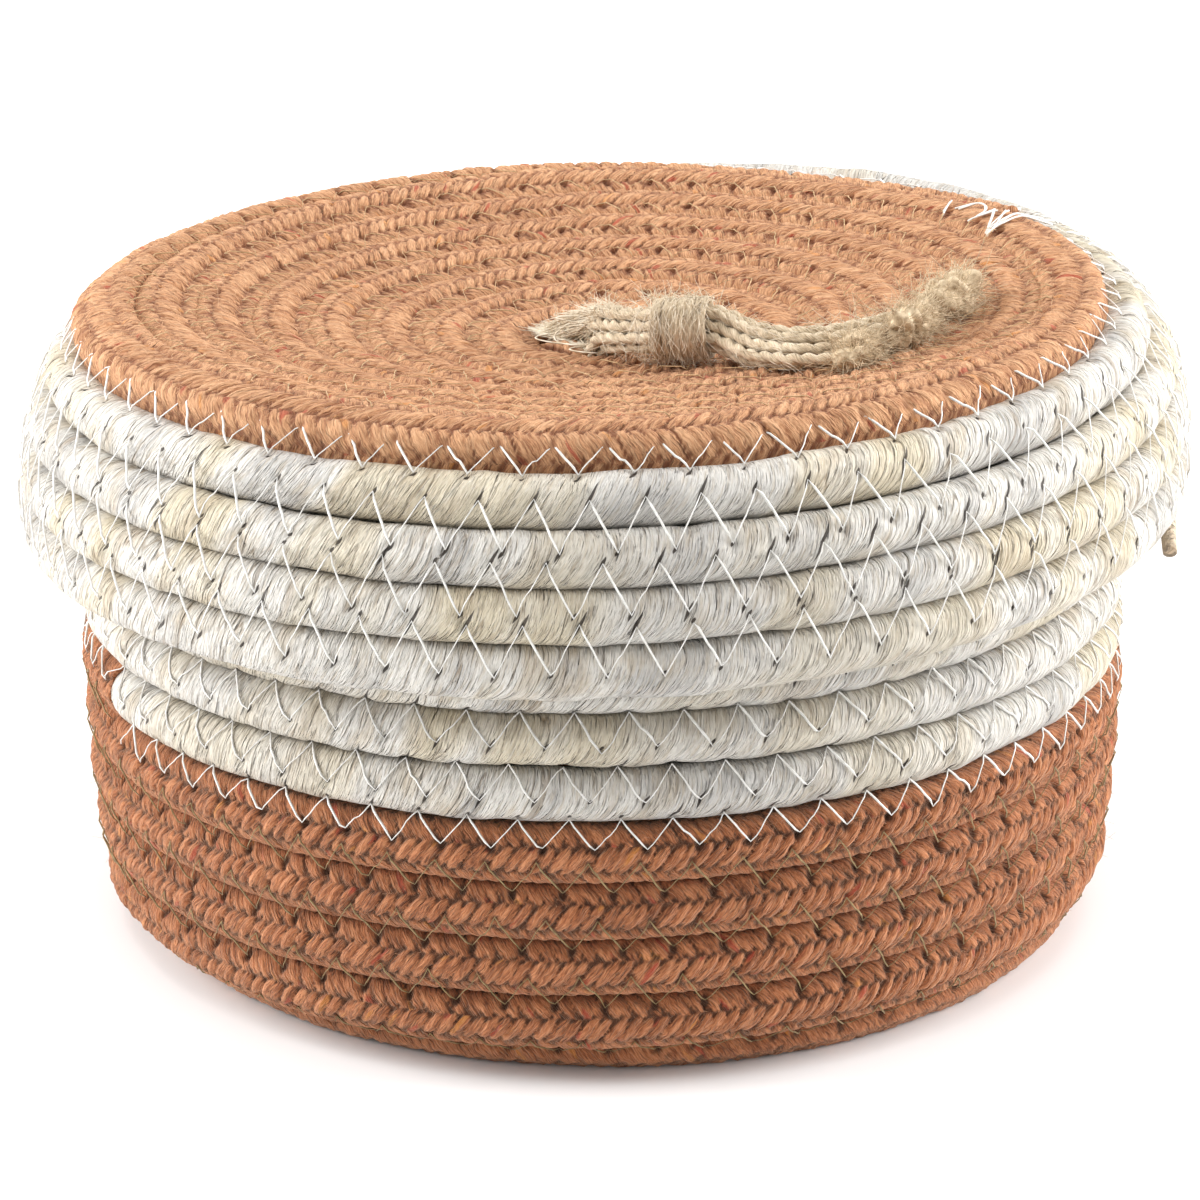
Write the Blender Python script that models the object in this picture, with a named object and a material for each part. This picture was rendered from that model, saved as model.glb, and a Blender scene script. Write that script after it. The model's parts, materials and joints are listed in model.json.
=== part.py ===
"""Knitting basket coiled from cotton rope and husk cord, with a lift-off lid and a jute tassel.

Run it with blender --background --python part.py, or from Blender's text editor.
Lengths are metres, +Z is up, and the origin is the middle of the base.
"""

import math

import bmesh
import bpy
import numpy as np
from mathutils import Matrix, Vector
from mathutils.bvhtree import BVHTree

# Braided cotton rope, in the basket's floor and lower wall and in the lid's top
ROPE_DIAMETER = 0.0094
ROPE_PITCH = 0.0104

# Husk-wrapped cord, in the basket's upper wall and in the lid's skirt
HUSK_DIAMETER = 0.0084
HUSK_PITCH = 0.0092

# Room between pieces that touch, and above the rim that the lid rests on
CLEARANCE = 0.0003
SEAT_CLEARANCE = 0.0004

# Points on one turn of a coil, on its first turns, and on the bend at its start
WIDE_TURN_POINTS = 24
TIGHT_TURN_POINTS = 16
TIGHT_TURNS = 2
BEND_POINTS = 6

# Points round a tube at which its gap to itself is measured
GAP_SPOKES = 12

# The basket's side view: a flat floor, a rounded corner, and a wall that leans out and then in
FLOOR_CUT_SHARE = 0.1
FLOOR_START_RADIUS = 0.0131
FLOOR_BAR_OFFSET = 0.0015
FLOOR_BAR_START = 0.0004
FLOOR_FLAT_RADIUS = 0.079
CORNER_RADIUS = 0.0098
CORNER_TURN = math.radians(84)
LOWER_WALL_LENGTH = 0.0417
LOWER_WALL_TURN = math.radians(6)
UPPER_WALL_LENGTH = 0.051
UPPER_WALL_TURN = math.radians(11.5)
BASKET_START_ANGLE = math.radians(48)
BASKET_ROPE_TURNS = 11 + 156 / 360
BASKET_HUSK_TURNS = 5 + 201 / 360

# The lid's side view: a dished top wider than the floor, a shoulder, and a skirt that drops past the rim
LID_OVERHANG = 0.006
DISH_LENGTH = FLOOR_FLAT_RADIUS + LID_OVERHANG
DISH_TURN = math.radians(13.5)
SHOULDER_LENGTH = 0.0091
SHOULDER_TURN = math.radians(-65)
SKIRT_LENGTH = 0.028
SKIRT_TURN = math.radians(-38.5)
LID_START_RADIUS = 0.0136
LID_ROPE_TURNS = 7.75
LID_HUSK_TURNS = 4 + 45 / 360

# The lid rope starts as a short bar beside the middle, which the tassel is folded over
LID_BAR_OFFSET = 0.0026
LID_BAR_START = 0.0004

# A cord's end tapers, and the lid's rolls from under its last row to the outside of it
TAIL_TURNS = 0.12
TAIL_END_SHARE = 0.45
TAIL_ROLL_TURNS = 0.25
TAIL_ROLL = math.radians(75)

# The tassel: jute strands folded over the bar, which swing in a plane at this angle from above
SWING_ANGLE = math.radians(-45)
LOOP_CENTRE = -0.002
STRAND_DIAMETER = 0.0016
STRAND_SPACING = 0.0022
LOOP_CLEARANCE = 0.0005
LOOP_START_ANGLE = math.radians(116)
LOOP_END_ANGLE = math.radians(360)
LOOP_POINTS = 9
STRAND_STEPS = 2

# The strands' arch and their rise beside the bar, as shares of the loop's radius
ARCH_SHARES = ((0.43, 1.30), (1.44, 1.63), (2.30, 1.76))
RISE_SHARES = ((2.30, 1.21), (1.51, 1.00), (1.10, 0.55))

# The whipping, wound round the tassel's neck
WHIPPING_DIAMETER = 0.0014
WHIPPING_PITCH = 0.0019
WHIPPING_TURNS = 5
WHIPPING_TURN_POINTS = 12
WHIPPING_ROOM = 0.00045

# The neck's two ends and the middle of the strands' free part, seen from above
NECK_START = Vector((0.0090, -0.0200, 0))
NECK_END = Vector((0.0190, -0.0225, 0))
FREE_ROUTE = (
    Vector((0.027, -0.0275, 0)),
    Vector((0.036, -0.031, 0)),
    Vector((0.047, -0.028, 0)),
    Vector((0.058, -0.022, 0)),
)
FREE_SPREAD_SHARES = (1.6, 2.6, 4.5, 7.6)
FREE_FLAT_SHARES = (0.85, 0.65, 0.6, 0.6)
FAN_ANGLE = math.radians(70)

ROPE_COLOUR = (0.56, 0.25, 0.12, 1)
LID_ROPE_COLOUR = (0.68, 0.36, 0.19, 1)
HUSK_COLOUR = (0.80, 0.77, 0.68, 1)
JUTE_COLOUR = (0.50, 0.40, 0.27, 1)
CLOTH_ROUGHNESS = 0.9
HUSK_ROUGHNESS = 0.6

PARTS = "knitting_basket"
CUTTERS = "cutters"


class Profile:
    """The side view of a coil: stretches that each run for a length while they turn by an angle."""

    def __init__(self, height, stretches):
        self.height = height
        self.stretches = stretches

    def at(self, run):
        """Radius and height at a distance along the profile from the middle."""
        radius, height, heading = 0.0, self.height, 0.0
        for length, turn in self.stretches:
            part = min(run, length)
            end = heading + turn * part / length
            if turn:
                bend = length / turn
                radius += bend * (math.sin(end) - math.sin(heading))
                height += bend * (math.cos(heading) - math.cos(end))
            else:
                radius += part * math.cos(heading)
                height += part * math.sin(heading)
            heading = end
            run -= part
            if run <= 0:
                return radius, height
        return radius + run * math.cos(heading), height + run * math.sin(heading)


class Coil:
    """A spiral along a profile, of rope up to its change and of husk cord after it."""

    def __init__(self, profile, start_radius, start_angle, hand, rope_turns, husk_turns):
        self.profile = profile
        self.start_radius = start_radius
        self.start_angle = start_angle
        self.hand = hand
        self.change = rope_turns
        self.end = rope_turns + husk_turns

    def run(self, turn):
        """Distance along the profile, where the pitch eases over one turn from the rope's to the cord's."""
        past = max(turn - self.change, 0.0)
        eased = min(past, 1.0)
        rope = ROPE_PITCH * min(turn, self.change)
        husk = HUSK_PITCH * past + (ROPE_PITCH - HUSK_PITCH) * (eased - eased * eased / 2)
        return self.start_radius + rope + husk

    def place(self, turn, roll=0.0):
        """The coil's centre after some turns, rolled outwards round the row before it."""
        radius, height = self.profile.at(self.run(turn))
        if roll:
            inner_radius, inner_height = self.profile.at(self.run(turn - 1))
            across, up = radius - inner_radius, height - inner_height
            radius = inner_radius + across * math.cos(roll) - up * math.sin(roll)
            height = inner_height + up * math.cos(roll) + across * math.sin(roll)
        angle = self.start_angle + self.hand * math.tau * turn
        return Vector((radius * math.cos(angle), radius * math.sin(angle), height))

    def grid(self, first, last):
        """Turns between two, on a grid that the rows share, and coarser near the middle."""
        fine = math.lcm(WIDE_TURN_POINTS, TIGHT_TURN_POINTS)
        for index in range(math.ceil(last * fine)):
            turn = index / fine
            points = TIGHT_TURN_POINTS if turn < TIGHT_TURNS else WIDE_TURN_POINTS
            if first < turn < last and index % (fine // points) == 0:
                yield turn

    def bar(self, offset, start):
        """The rope's first stretch: a bar one diameter long beside the middle, and the bend after it."""
        bend = (self.start_radius + offset) / 2
        middle = Vector((bend - offset, start, 0))
        places = [Vector((-offset, start - ROPE_DIAMETER, 0))]
        for step in range(BEND_POINTS + 1):
            angle = math.pi * (1 - step / BEND_POINTS)
            places.append(middle + Vector((math.cos(angle), math.sin(angle), 0)) * bend)
        turn = Matrix.Rotation(self.start_angle, 3, "Z") @ Matrix.Diagonal((1, -self.hand, 1))
        height = Vector((0, 0, self.profile.height))
        return [turn @ place + height for place in places]

    def change_line(self):
        """The straight run through the change, one rope diameter each way, and half the gap in it."""
        radius, _ = self.profile.at(self.run(self.change))
        step = ROPE_DIAMETER / (math.tau * radius)
        start, end = self.place(self.change - step), self.place(self.change + step)
        return step, start, end, (end - start).normalized() * CLEARANCE / 2

    def rope(self):
        """Centres of the rope, up to a square end that faces the cord's."""
        step, start, end, half_gap = self.change_line()
        places = [self.place(turn) for turn in self.grid(0, self.change - step)]
        return [self.place(0), *places, start, (start + end) / 2 - half_gap]

    def husk(self, tail_roll=0.0):
        """Centres and thickness shares of the cord, from its square start to its tapered tail."""
        step, start, end, half_gap = self.change_line()
        places, shares = [(start + end) / 2 + half_gap, end], [1.0, 1.0]
        for turn in [*self.grid(self.change + step, self.end), self.end]:
            rolled = max(0.0, 1 - (self.end - turn) / TAIL_ROLL_TURNS)
            roll = tail_roll * rolled * rolled * (3 - 2 * rolled)
            tapered = max(0.0, 1 - (self.end - turn) / TAIL_TURNS)
            places.append(self.place(turn, roll))
            shares.append(1 - tapered * (1 - TAIL_END_SHARE))
        return places, shares


def least_gap(name, places, diameter):
    """Print the least gap of a tube to itself, measured from points round it to its other stretches."""
    centres = np.array([tuple(place) for place in places])
    starts, runs = centres[:-1], np.diff(centres, axis=0)
    lengths = np.linalg.norm(runs, axis=1)
    headings = runs / lengths[:, None]
    along = np.concatenate(([0.0], np.cumsum(lengths)))
    least = math.inf
    for index, centre in enumerate(centres):
        apart = np.minimum(abs(along[:-1] - along[index]), abs(along[1:] - along[index])) > math.pi * diameter
        if not apart.any():
            continue
        heading = Vector(headings[min(index, len(headings) - 1)])
        side = heading.cross(Vector((0, 0, 1))).normalized()
        for step in range(GAP_SPOKES):
            spoke = Matrix.Rotation(math.tau * step / GAP_SPOKES, 3, heading) @ side
            reach = centre + np.array(spoke) * diameter / 2 - starts[apart]
            ahead = (reach * headings[apart]).sum(axis=1)
            beyond = np.maximum(0, np.maximum(-ahead, ahead - lengths[apart]))
            across = np.linalg.norm(reach - headings[apart] * ahead[:, None], axis=1)
            least = min(least, np.hypot(np.maximum(across - diameter / 2, 0), beyond).min())
    print(f"{name}: least gap to itself {least * 1000:.2f} mm")


def smooth_route(points, steps):
    """Points on a smooth curve through the given ones, with some steps in each span."""
    padded = [points[0] * 2 - points[1], *points, points[-1] * 2 - points[-2]]
    route = []
    for before, start, end, after in zip(padded, padded[1:], padded[2:], padded[3:]):
        for step in range(steps):
            t = step / steps
            bend = (before * 2 - start * 5 + end * 4 - after) * t * t
            twist = (start * 3 - before - end * 3 + after) * t * t * t
            route.append((start * 2 + (end - before) * t + bend + twist) / 2)
    return route + [points[-1]]


def surface(thing):
    """A piece's corners and its faces, in the model's frame."""
    graph = bpy.context.evaluated_depsgraph_get()
    mesh = bpy.data.meshes.new_from_object(thing.evaluated_get(graph))
    points = [thing.matrix_world @ corner.co for corner in mesh.vertices]
    faces = [tuple(face.vertices) for face in mesh.polygons]
    bpy.data.meshes.remove(mesh)
    return points, BVHTree.FromPolygons(points, faces)


def free_drop(upper, lower):
    """How far one piece comes down before it meets another."""
    above, above_faces = surface(upper)
    below, below_faces = surface(lower)
    down = Vector((0, 0, -1))
    drops = [below_faces.ray_cast(point, down)[3] for point in above]
    drops += [above_faces.ray_cast(point, -down)[3] for point in below]
    return min((drop for drop in drops if drop is not None), default=math.inf)


def make_material(name, colour, roughness):
    material = bpy.data.materials.new(name)
    material.use_nodes = True
    shader = material.node_tree.nodes["Principled BSDF"]
    shader.inputs["Base Color"].default_value = colour
    shader.inputs["Roughness"].default_value = roughness
    shader.inputs["Metallic"].default_value = 0.0
    return material


def make_collection(name):
    collection = bpy.data.collections.new(name)
    bpy.context.scene.collection.children.link(collection)
    return collection


def make_empty(name, place, turn, parent=None):
    empty = bpy.data.objects.new(name, None)
    bpy.data.collections[PARTS].objects.link(empty)
    empty.parent = parent
    empty.location = place
    empty.rotation_euler = (0, 0, turn)
    return empty


def make_tube(name, places, diameter, material, parent=None, shares=None):
    """A closed tube along a line of centres."""
    curve = bpy.data.curves.new(name, "CURVE")
    curve.dimensions = "3D"
    curve.bevel_depth = diameter / 2
    curve.bevel_resolution = 1
    curve.render_resolution_u = 0
    curve.use_fill_caps = True
    spline = curve.splines.new("POLY")
    spline.points.add(len(places) - 1)
    spline.use_smooth = True
    for point, place, share in zip(spline.points, places, shares or [1.0] * len(places)):
        point.co = (*place, 1)
        point.radius = share
    curve.materials.append(material)
    tube = bpy.data.objects.new(name, curve)
    bpy.data.collections[PARTS].objects.link(tube)
    tube.parent = parent
    return tube


def make_solid(tube):
    """Turn a tube's curve into a welded mesh under the same name, so that it can be cut."""
    name, parent = tube.name, tube.parent
    bpy.context.view_layer.update()
    evaluated = tube.evaluated_get(bpy.context.evaluated_depsgraph_get())
    mesh = bpy.data.meshes.new_from_object(evaluated)
    place = tube.matrix_world.copy()
    bpy.data.objects.remove(tube)
    welded = bmesh.new()
    welded.from_mesh(mesh)
    bmesh.ops.remove_doubles(welded, verts=welded.verts, dist=CLEARANCE / 100)
    welded.to_mesh(mesh)
    welded.free()
    mesh.name = name
    solid = bpy.data.objects.new(name, mesh)
    bpy.data.collections[PARTS].objects.link(solid)
    solid.parent = parent
    solid.matrix_world = place
    return solid


def cut_below_floor(solid, reach):
    """Cut off what is below the floor, so that the coil stands on a flat strip."""
    box = bmesh.new()
    bmesh.ops.create_cube(box, size=1)
    bmesh.ops.scale(box, vec=(reach * 2, reach * 2, ROPE_DIAMETER), verts=box.verts)
    bmesh.ops.translate(box, vec=(0, 0, -ROPE_DIAMETER / 2), verts=box.verts)
    mesh = bpy.data.meshes.new("floor_cutter")
    box.to_mesh(mesh)
    box.free()
    cutter = bpy.data.objects.new("floor_cutter", mesh)
    cutter.hide_render = True
    cutter.display_type = "WIRE"
    bpy.data.collections[CUTTERS].objects.link(cutter)
    cut = solid.modifiers.new("floor", "BOOLEAN")
    cut.operation = "DIFFERENCE"
    cut.solver = "MANIFOLD"
    cut.object = cutter


def make_basket(rope_material, husk_material):
    """The floor and wall: one rope that winds out and up, and one cord that carries on to the rim."""
    profile = Profile(ROPE_DIAMETER * (0.5 - FLOOR_CUT_SHARE), (
        (FLOOR_FLAT_RADIUS, 0.0),
        (CORNER_RADIUS * CORNER_TURN, CORNER_TURN),
        (LOWER_WALL_LENGTH, LOWER_WALL_TURN),
        (UPPER_WALL_LENGTH, UPPER_WALL_TURN),
    ))
    coil = Coil(profile, FLOOR_START_RADIUS, BASKET_START_ANGLE, 1, BASKET_ROPE_TURNS, BASKET_HUSK_TURNS)
    rope = coil.bar(FLOOR_BAR_OFFSET, FLOOR_BAR_START) + coil.rope()
    husk, shares = coil.husk()
    least_gap("basket_rope", rope, ROPE_DIAMETER)
    least_gap("basket_husk_cord", husk, HUSK_DIAMETER)
    solid = make_solid(make_tube("basket_rope", rope, ROPE_DIAMETER, rope_material))
    cut_below_floor(solid, coil.run(coil.change))
    return make_tube("basket_husk_cord", husk, HUSK_DIAMETER, husk_material, shares=shares)


def make_lid(rim, rope_material, husk_material):
    """The dished top and the skirt, set down on the basket's rim."""
    profile = Profile(0.0, (
        (DISH_LENGTH, DISH_TURN),
        (SHOULDER_LENGTH, SHOULDER_TURN),
        (SKIRT_LENGTH, SKIRT_TURN),
    ))
    coil = Coil(profile, LID_START_RADIUS, SWING_ANGLE, -1, LID_ROPE_TURNS, LID_HUSK_TURNS)
    rope = coil.bar(LID_BAR_OFFSET, LID_BAR_START) + coil.rope()
    husk, shares = coil.husk(tail_roll=TAIL_ROLL)
    least_gap("lid_rope", rope, ROPE_DIAMETER)
    least_gap("lid_husk_cord", husk, HUSK_DIAMETER)
    raised = coil.run(coil.end) * 2
    lid = make_empty("lid", (0, 0, raised), 0.0)
    pieces = [
        make_tube("lid_rope", rope, ROPE_DIAMETER, rope_material, lid),
        make_tube("lid_husk_cord", husk, HUSK_DIAMETER, husk_material, lid, shares),
    ]
    bpy.context.view_layer.update()
    drops = [free_drop(piece, rim) for piece in pieces]
    print(f"lid: its rope could come down {drops[0] * 1000:.2f} mm and its cord {drops[1] * 1000:.2f} mm")
    lid.location.z = raised - min(drops) + SEAT_CLEARANCE
    print(f"lid: the dish's middle is at {lid.location.z * 1000:.2f} mm")
    return lid, profile


class Bundle:
    """The tassel's strands, in a frame on the bar's axis whose +X is the way that the tassel points."""

    def __init__(self, profile):
        self.profile = profile
        self.layer = STRAND_SPACING * math.sqrt(3) / 4
        self.loop_radius = ROPE_DIAMETER / 2 + LOOP_CLEARANCE + STRAND_DIAMETER / 2 + self.layer
        self.swing = Matrix.Rotation(SWING_ANGLE, 3, "Z")
        self.origin = self.swing @ Vector((-LID_BAR_OFFSET, LOOP_CENTRE, 0))
        self.neck_radius = STRAND_DIAMETER / 2 + math.hypot(3 * self.layer, STRAND_SPACING * 3 / 4)
        self.whipping_radius = self.neck_radius + WHIPPING_ROOM + WHIPPING_DIAMETER / 2
        room = self.whipping_radius + WHIPPING_DIAMETER / 2 + CLEARANCE
        self.neck_start = self.on_lid(NECK_START, room)
        self.neck_end = self.on_lid(NECK_END, room)

    def on_lid(self, place, room):
        """A place seen from above, set some way above the lid's rope."""
        radius = math.hypot(place.x, place.y)
        _, height = self.profile.at(radius)
        raised = Vector((place.x, place.y, height + ROPE_DIAMETER / 2 + room))
        return self.swing.transposed() @ (raised - self.origin)

    def slots(self):
        """Each strand's place across the loop: along the bar, and out from the bundle's middle."""
        inner = [(share * STRAND_SPACING, -self.layer) for share in (-1, 0, 1)]
        outer = [(share * STRAND_SPACING, self.layer) for share in (-1 / 2, 1 / 2)]
        return inner + outer

    def sway(self, ahead):
        """How far the bundle's middle lies to the side, between the loop and the neck."""
        share = min(1.0, ahead / (self.loop_radius * ARCH_SHARES[-1][0]))
        return self.neck_start.y * share * share * (3 - 2 * share)

    def half(self, slot, side, shares):
        """One half of a strand, from its free end to the loop: side is 1 on the arch and -1 below it."""
        along, out = slot
        run = self.neck_end - self.neck_start
        across = Vector((-run.y, run.x, 0)).normalized()
        shift = along + side * STRAND_SPACING / 4
        lift = side * (2 * self.layer + out)
        fan = self.swing.transposed() @ Vector((math.cos(FAN_ANGLE), math.sin(FAN_ANGLE), 0))
        lowest = -3 * self.layer
        places = []
        for place, spread, flat in zip(FREE_ROUTE, FREE_SPREAD_SHARES, FREE_FLAT_SHARES):
            room = CLEARANCE + STRAND_DIAMETER / 2 + (lift - lowest) * flat
            aside = self.swing @ fan * shift * spread
            places.append(self.on_lid(place + aside, room))
        places.reverse()
        for end in (self.neck_end, self.neck_start):
            places.append(end + across * shift + Vector((0, 0, lift)))
        steps = []
        for ahead_share, up_share in shares:
            ahead, up = ahead_share * self.loop_radius, up_share * self.loop_radius
            steps.append(Vector((ahead, self.sway(ahead), up)))
        return places, steps, shift

    def strand(self, slot):
        """A folded strand's route, from one free end over the bar and under it to the other."""
        along, out = slot
        arch_free, arch, arch_shift = self.half(slot, 1, reversed(ARCH_SHARES))
        rise_free, rise, rise_shift = self.half(slot, -1, RISE_SHARES)
        loop = []
        for step in range(LOOP_POINTS):
            share = step / (LOOP_POINTS - 1)
            angle = LOOP_START_ANGLE + (LOOP_END_ANGLE - LOOP_START_ANGLE) * share
            loop.append(Vector((math.cos(angle), 0, math.sin(angle))) * self.loop_radius)
        middles = [self.neck_start, *arch, *loop, *reversed(rise), self.neck_start]
        shifts = [arch_shift, arch_shift, arch_shift, (along + arch_shift) / 2]
        shifts += [along] * LOOP_POINTS
        shifts += [(along + rise_shift) / 2, rise_shift, rise_shift, rise_shift]
        bent = []
        for index in range(1, len(middles) - 1):
            heading = (middles[index + 1] - middles[index - 1]).normalized()
            outward = Vector((0, 1, 0)).cross(heading).normalized()
            bent.append(middles[index] + Vector((0, shifts[index], 0)) + outward * out)
        return arch_free + bent + rise_free[::-1]

    def whipping(self):
        """Centres of the whipping, which climbs the neck and ends straight at both ends."""
        run = self.neck_end - self.neck_start
        heading = run.normalized()
        middle = (self.neck_start + self.neck_end) / 2
        across = Vector((-run.y, run.x, 0)).normalized()
        up = heading.cross(across)
        places = []
        for step in range(WHIPPING_TURNS * WHIPPING_TURN_POINTS + 1):
            turns = step / WHIPPING_TURN_POINTS
            angle = math.tau * turns
            spoke = across * math.cos(angle) + up * math.sin(angle)
            ahead = (turns - WHIPPING_TURNS / 2) * WHIPPING_PITCH
            places.append(middle + heading * ahead + spoke * self.whipping_radius)
        return places


def make_tassel(lid, profile, material):
    """Folded jute strands and the whipping that binds them, on the bar's axis."""
    bundle = Bundle(profile)
    tassel = make_empty("tassel", bundle.origin, SWING_ANGLE, lid)
    for number, slot in enumerate(bundle.slots(), 1):
        route = smooth_route(bundle.strand(slot), STRAND_STEPS)
        least_gap(f"tassel_strand_{number}", route, STRAND_DIAMETER)
        make_tube(f"tassel_strand_{number}", route, STRAND_DIAMETER, material, tassel)
    whipping = bundle.whipping()
    least_gap("tassel_whipping", whipping, WHIPPING_DIAMETER)
    make_tube("tassel_whipping", whipping, WHIPPING_DIAMETER, material, tassel)


def main():
    for thing in list(bpy.data.objects):
        bpy.data.objects.remove(thing)
    make_collection(PARTS)
    make_collection(CUTTERS)
    rope = make_material("terracotta_rope", ROPE_COLOUR, CLOTH_ROUGHNESS)
    lid_rope = make_material("lid_rope", LID_ROPE_COLOUR, CLOTH_ROUGHNESS)
    husk = make_material("husk", HUSK_COLOUR, HUSK_ROUGHNESS)
    jute = make_material("jute", JUTE_COLOUR, CLOTH_ROUGHNESS)
    rim = make_basket(rope, husk)
    lid, profile = make_lid(rim, lid_rope, husk)
    make_tassel(lid, profile, jute)


main()
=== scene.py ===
"""A lidded knitting basket of braided rope and husk cord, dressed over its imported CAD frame.

Lengths are metres, +Z is up, and the camera looks along +Y.
"""
import json
import logging
import math
from collections.abc import Callable
from dataclasses import dataclass, field
from enum import Enum

import bmesh
import bpy
import numpy as np
from mathutils import Matrix, Vector


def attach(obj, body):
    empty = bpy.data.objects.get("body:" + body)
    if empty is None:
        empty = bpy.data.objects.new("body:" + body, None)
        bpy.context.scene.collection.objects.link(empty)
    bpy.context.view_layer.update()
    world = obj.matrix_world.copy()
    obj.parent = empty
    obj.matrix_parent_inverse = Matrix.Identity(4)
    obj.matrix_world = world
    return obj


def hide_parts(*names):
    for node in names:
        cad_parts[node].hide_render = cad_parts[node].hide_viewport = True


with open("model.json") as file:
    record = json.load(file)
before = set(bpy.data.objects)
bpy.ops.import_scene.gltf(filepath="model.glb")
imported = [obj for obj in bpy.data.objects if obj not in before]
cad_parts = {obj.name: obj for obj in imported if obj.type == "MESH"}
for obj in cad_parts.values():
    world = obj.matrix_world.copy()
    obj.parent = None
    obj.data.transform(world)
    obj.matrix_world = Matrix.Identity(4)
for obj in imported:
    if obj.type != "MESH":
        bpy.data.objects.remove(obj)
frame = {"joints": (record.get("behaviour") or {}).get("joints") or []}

log = logging.getLogger("knitting_basket")
Table = dict[str, np.ndarray]
Colour = tuple[float, float, float]
Pair = tuple[np.ndarray, np.ndarray]
Socket = bpy.types.NodeSocket
Material = bpy.types.Material
Piece = bpy.types.Object


class Slot(Enum):
    """The record's material slots."""

    ROPE = "terracotta_rope"
    LID_ROPE = "lid_rope"
    HUSK = "husk"
    JUTE = "jute"


class Face(Enum):
    """Which side of its heading a coil shows to the outside, in its side view."""

    RIGHT = -1
    LEFT = 1


class Shader:
    """A material's node tree, with short calls for the nodes that the finishes share."""

    def __init__(
        self, name: str, roughness: float, sheen: float = 0.0, tint: Colour = (1.0, 1.0, 1.0)
    ) -> None:
        """Start a material with a roughness and the strength and tint of its soft cloth sheen."""
        self.material = bpy.data.materials.new(name)
        self.material.use_nodes = True
        self.tree = self.material.node_tree
        self.surface = self.tree.nodes["Principled BSDF"]
        values = {"Roughness": roughness, "Sheen Weight": sheen, "Sheen Tint": (*tint, 1.0)}
        for socket, value in (values | {"Specular IOR Level": 0.25}).items():
            self.surface.inputs[socket].default_value = value

    def node(self, kind: str, inputs: dict, **settings: object) -> bpy.types.Node:
        """Add a node with values or sockets for its inputs, and its own settings, and return it."""
        made = self.tree.nodes.new(kind)
        for setting, value in settings.items():
            setattr(made, setting, value)
        for socket, value in inputs.items():
            if isinstance(value, Socket):
                self.tree.links.new(value, made.inputs[socket])
            else:
                made.inputs[socket].default_value = value
        return made

    def sum(self, operation: str, first: object, second: object = 0.0, third: object = 0.0) -> Socket:
        """Work out the sum of that name from up to three numbers or sockets."""
        return self.node("ShaderNodeMath", {0: first, 1: second, 2: third}, operation=operation).outputs[0]

    def times(self, first: object, second: object) -> Socket:
        """Multiply two values."""
        return self.sum("MULTIPLY", first, second)

    def plus(self, first: object, second: object) -> Socket:
        """Add two values."""
        return self.sum("ADD", first, second)

    def minus(self, first: object, second: object) -> Socket:
        """Take the second value from the first."""
        return self.sum("SUBTRACT", first, second)

    def times_plus(self, first: object, second: object, third: object) -> Socket:
        """Multiply two values and add the third."""
        return self.sum("MULTIPLY_ADD", first, second, third)

    def step(self, value: object, low: float, high: float, dark: float = 0.0, light: float = 1.0) -> Socket:
        """Ease a number between low and high from dark to light, and return the result."""
        inputs = {"Value": value, "From Min": low, "From Max": high, "To Min": dark, "To Max": light}
        return self.node("ShaderNodeMapRange", inputs, interpolation_type="SMOOTHSTEP").outputs["Result"]

    def noise(self, vector: object, scale: float, detail: float = 2.0, distortion: float = 0.0) -> Socket:
        """Add a noise over the coordinates, and return its value."""
        inputs = {"Vector": vector, "Scale": scale, "Detail": detail, "Distortion": distortion}
        return self.node("ShaderNodeTexNoise", inputs).outputs["Fac"]

    def join(self, x: object, y: object, z: object = 0.0) -> Socket:
        """Join three numbers in a vector, and return its socket."""
        return self.node("ShaderNodeCombineXYZ", {0: x, 1: y, 2: z}).outputs[0]

    def place(self) -> Socket:
        """Read the place on the piece, in metres."""
        return self.node("ShaderNodeTexCoord", {}).outputs["Object"]

    def mark(self, name: str) -> Socket:
        """Read one of the mesh's own attributes, and return its socket."""
        return self.node("ShaderNodeAttribute", {}, attribute_name=name).outputs["Fac"]

    def mix(self, share: object, first: object, second: object) -> Socket:
        """Mix a share of the second colour into the first, and return the colour."""
        full = [(*value, 1.0) if isinstance(value, tuple) else value for value in (first, second)]
        inputs = {"Factor": share, 6: full[0], 7: full[1]}
        return self.node("ShaderNodeMix", inputs, data_type="RGBA").outputs[2]

    def over(
        self, base: Socket, value: Socket, low: float, high: float, most: float, colour: Colour
    ) -> Socket:
        """Mix up to a share of a colour in, as a value goes from low to high, and return the colour."""
        return self.mix(self.step(value, low, high, 0.0, most), base, colour)

    def ramp(self, share: object, stops: tuple[tuple[float, Colour], ...]) -> Socket:
        """Turn a number into a colour between stops, which are places from 0 to 1 and their colours."""
        made = self.node("ShaderNodeValToRGB", {"Fac": share})
        scale = made.color_ramp
        while len(scale.elements) < len(stops):
            scale.elements.new(1.0)
        for element, (place, colour) in zip(scale.elements, stops):
            element.position = place
            element.color = (*colour, 1.0)
        return made.outputs["Color"]

    def cord_place(self) -> tuple[Socket, Socket]:
        """Read a cord's own map, and return its sockets: millimetres along the cord, and turns round it."""
        plan = self.node("ShaderNodeUVMap", {}, uv_map="cord").outputs[0]
        split = self.node("ShaderNodeSeparateXYZ", {0: plan})
        return self.times(split.outputs[0], 1000.0), split.outputs[1]

    def colour(self, value: Socket) -> None:
        """Give the surface its colour."""
        self.tree.links.new(value, self.surface.inputs["Base Color"])

    def bump(self, heights: tuple[tuple[Socket, float], ...], strength: float) -> None:
        """Raise the surface by some heights, each with the metres that a height of 1 stands for."""
        normal = None
        for height, reach in heights:
            inputs = {"Height": height, "Distance": reach, "Strength": strength}
            if normal is not None:
                inputs["Normal"] = normal
            normal = self.node("ShaderNodeBump", inputs).outputs[0]
        self.tree.links.new(normal, self.surface.inputs["Normal"])


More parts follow.
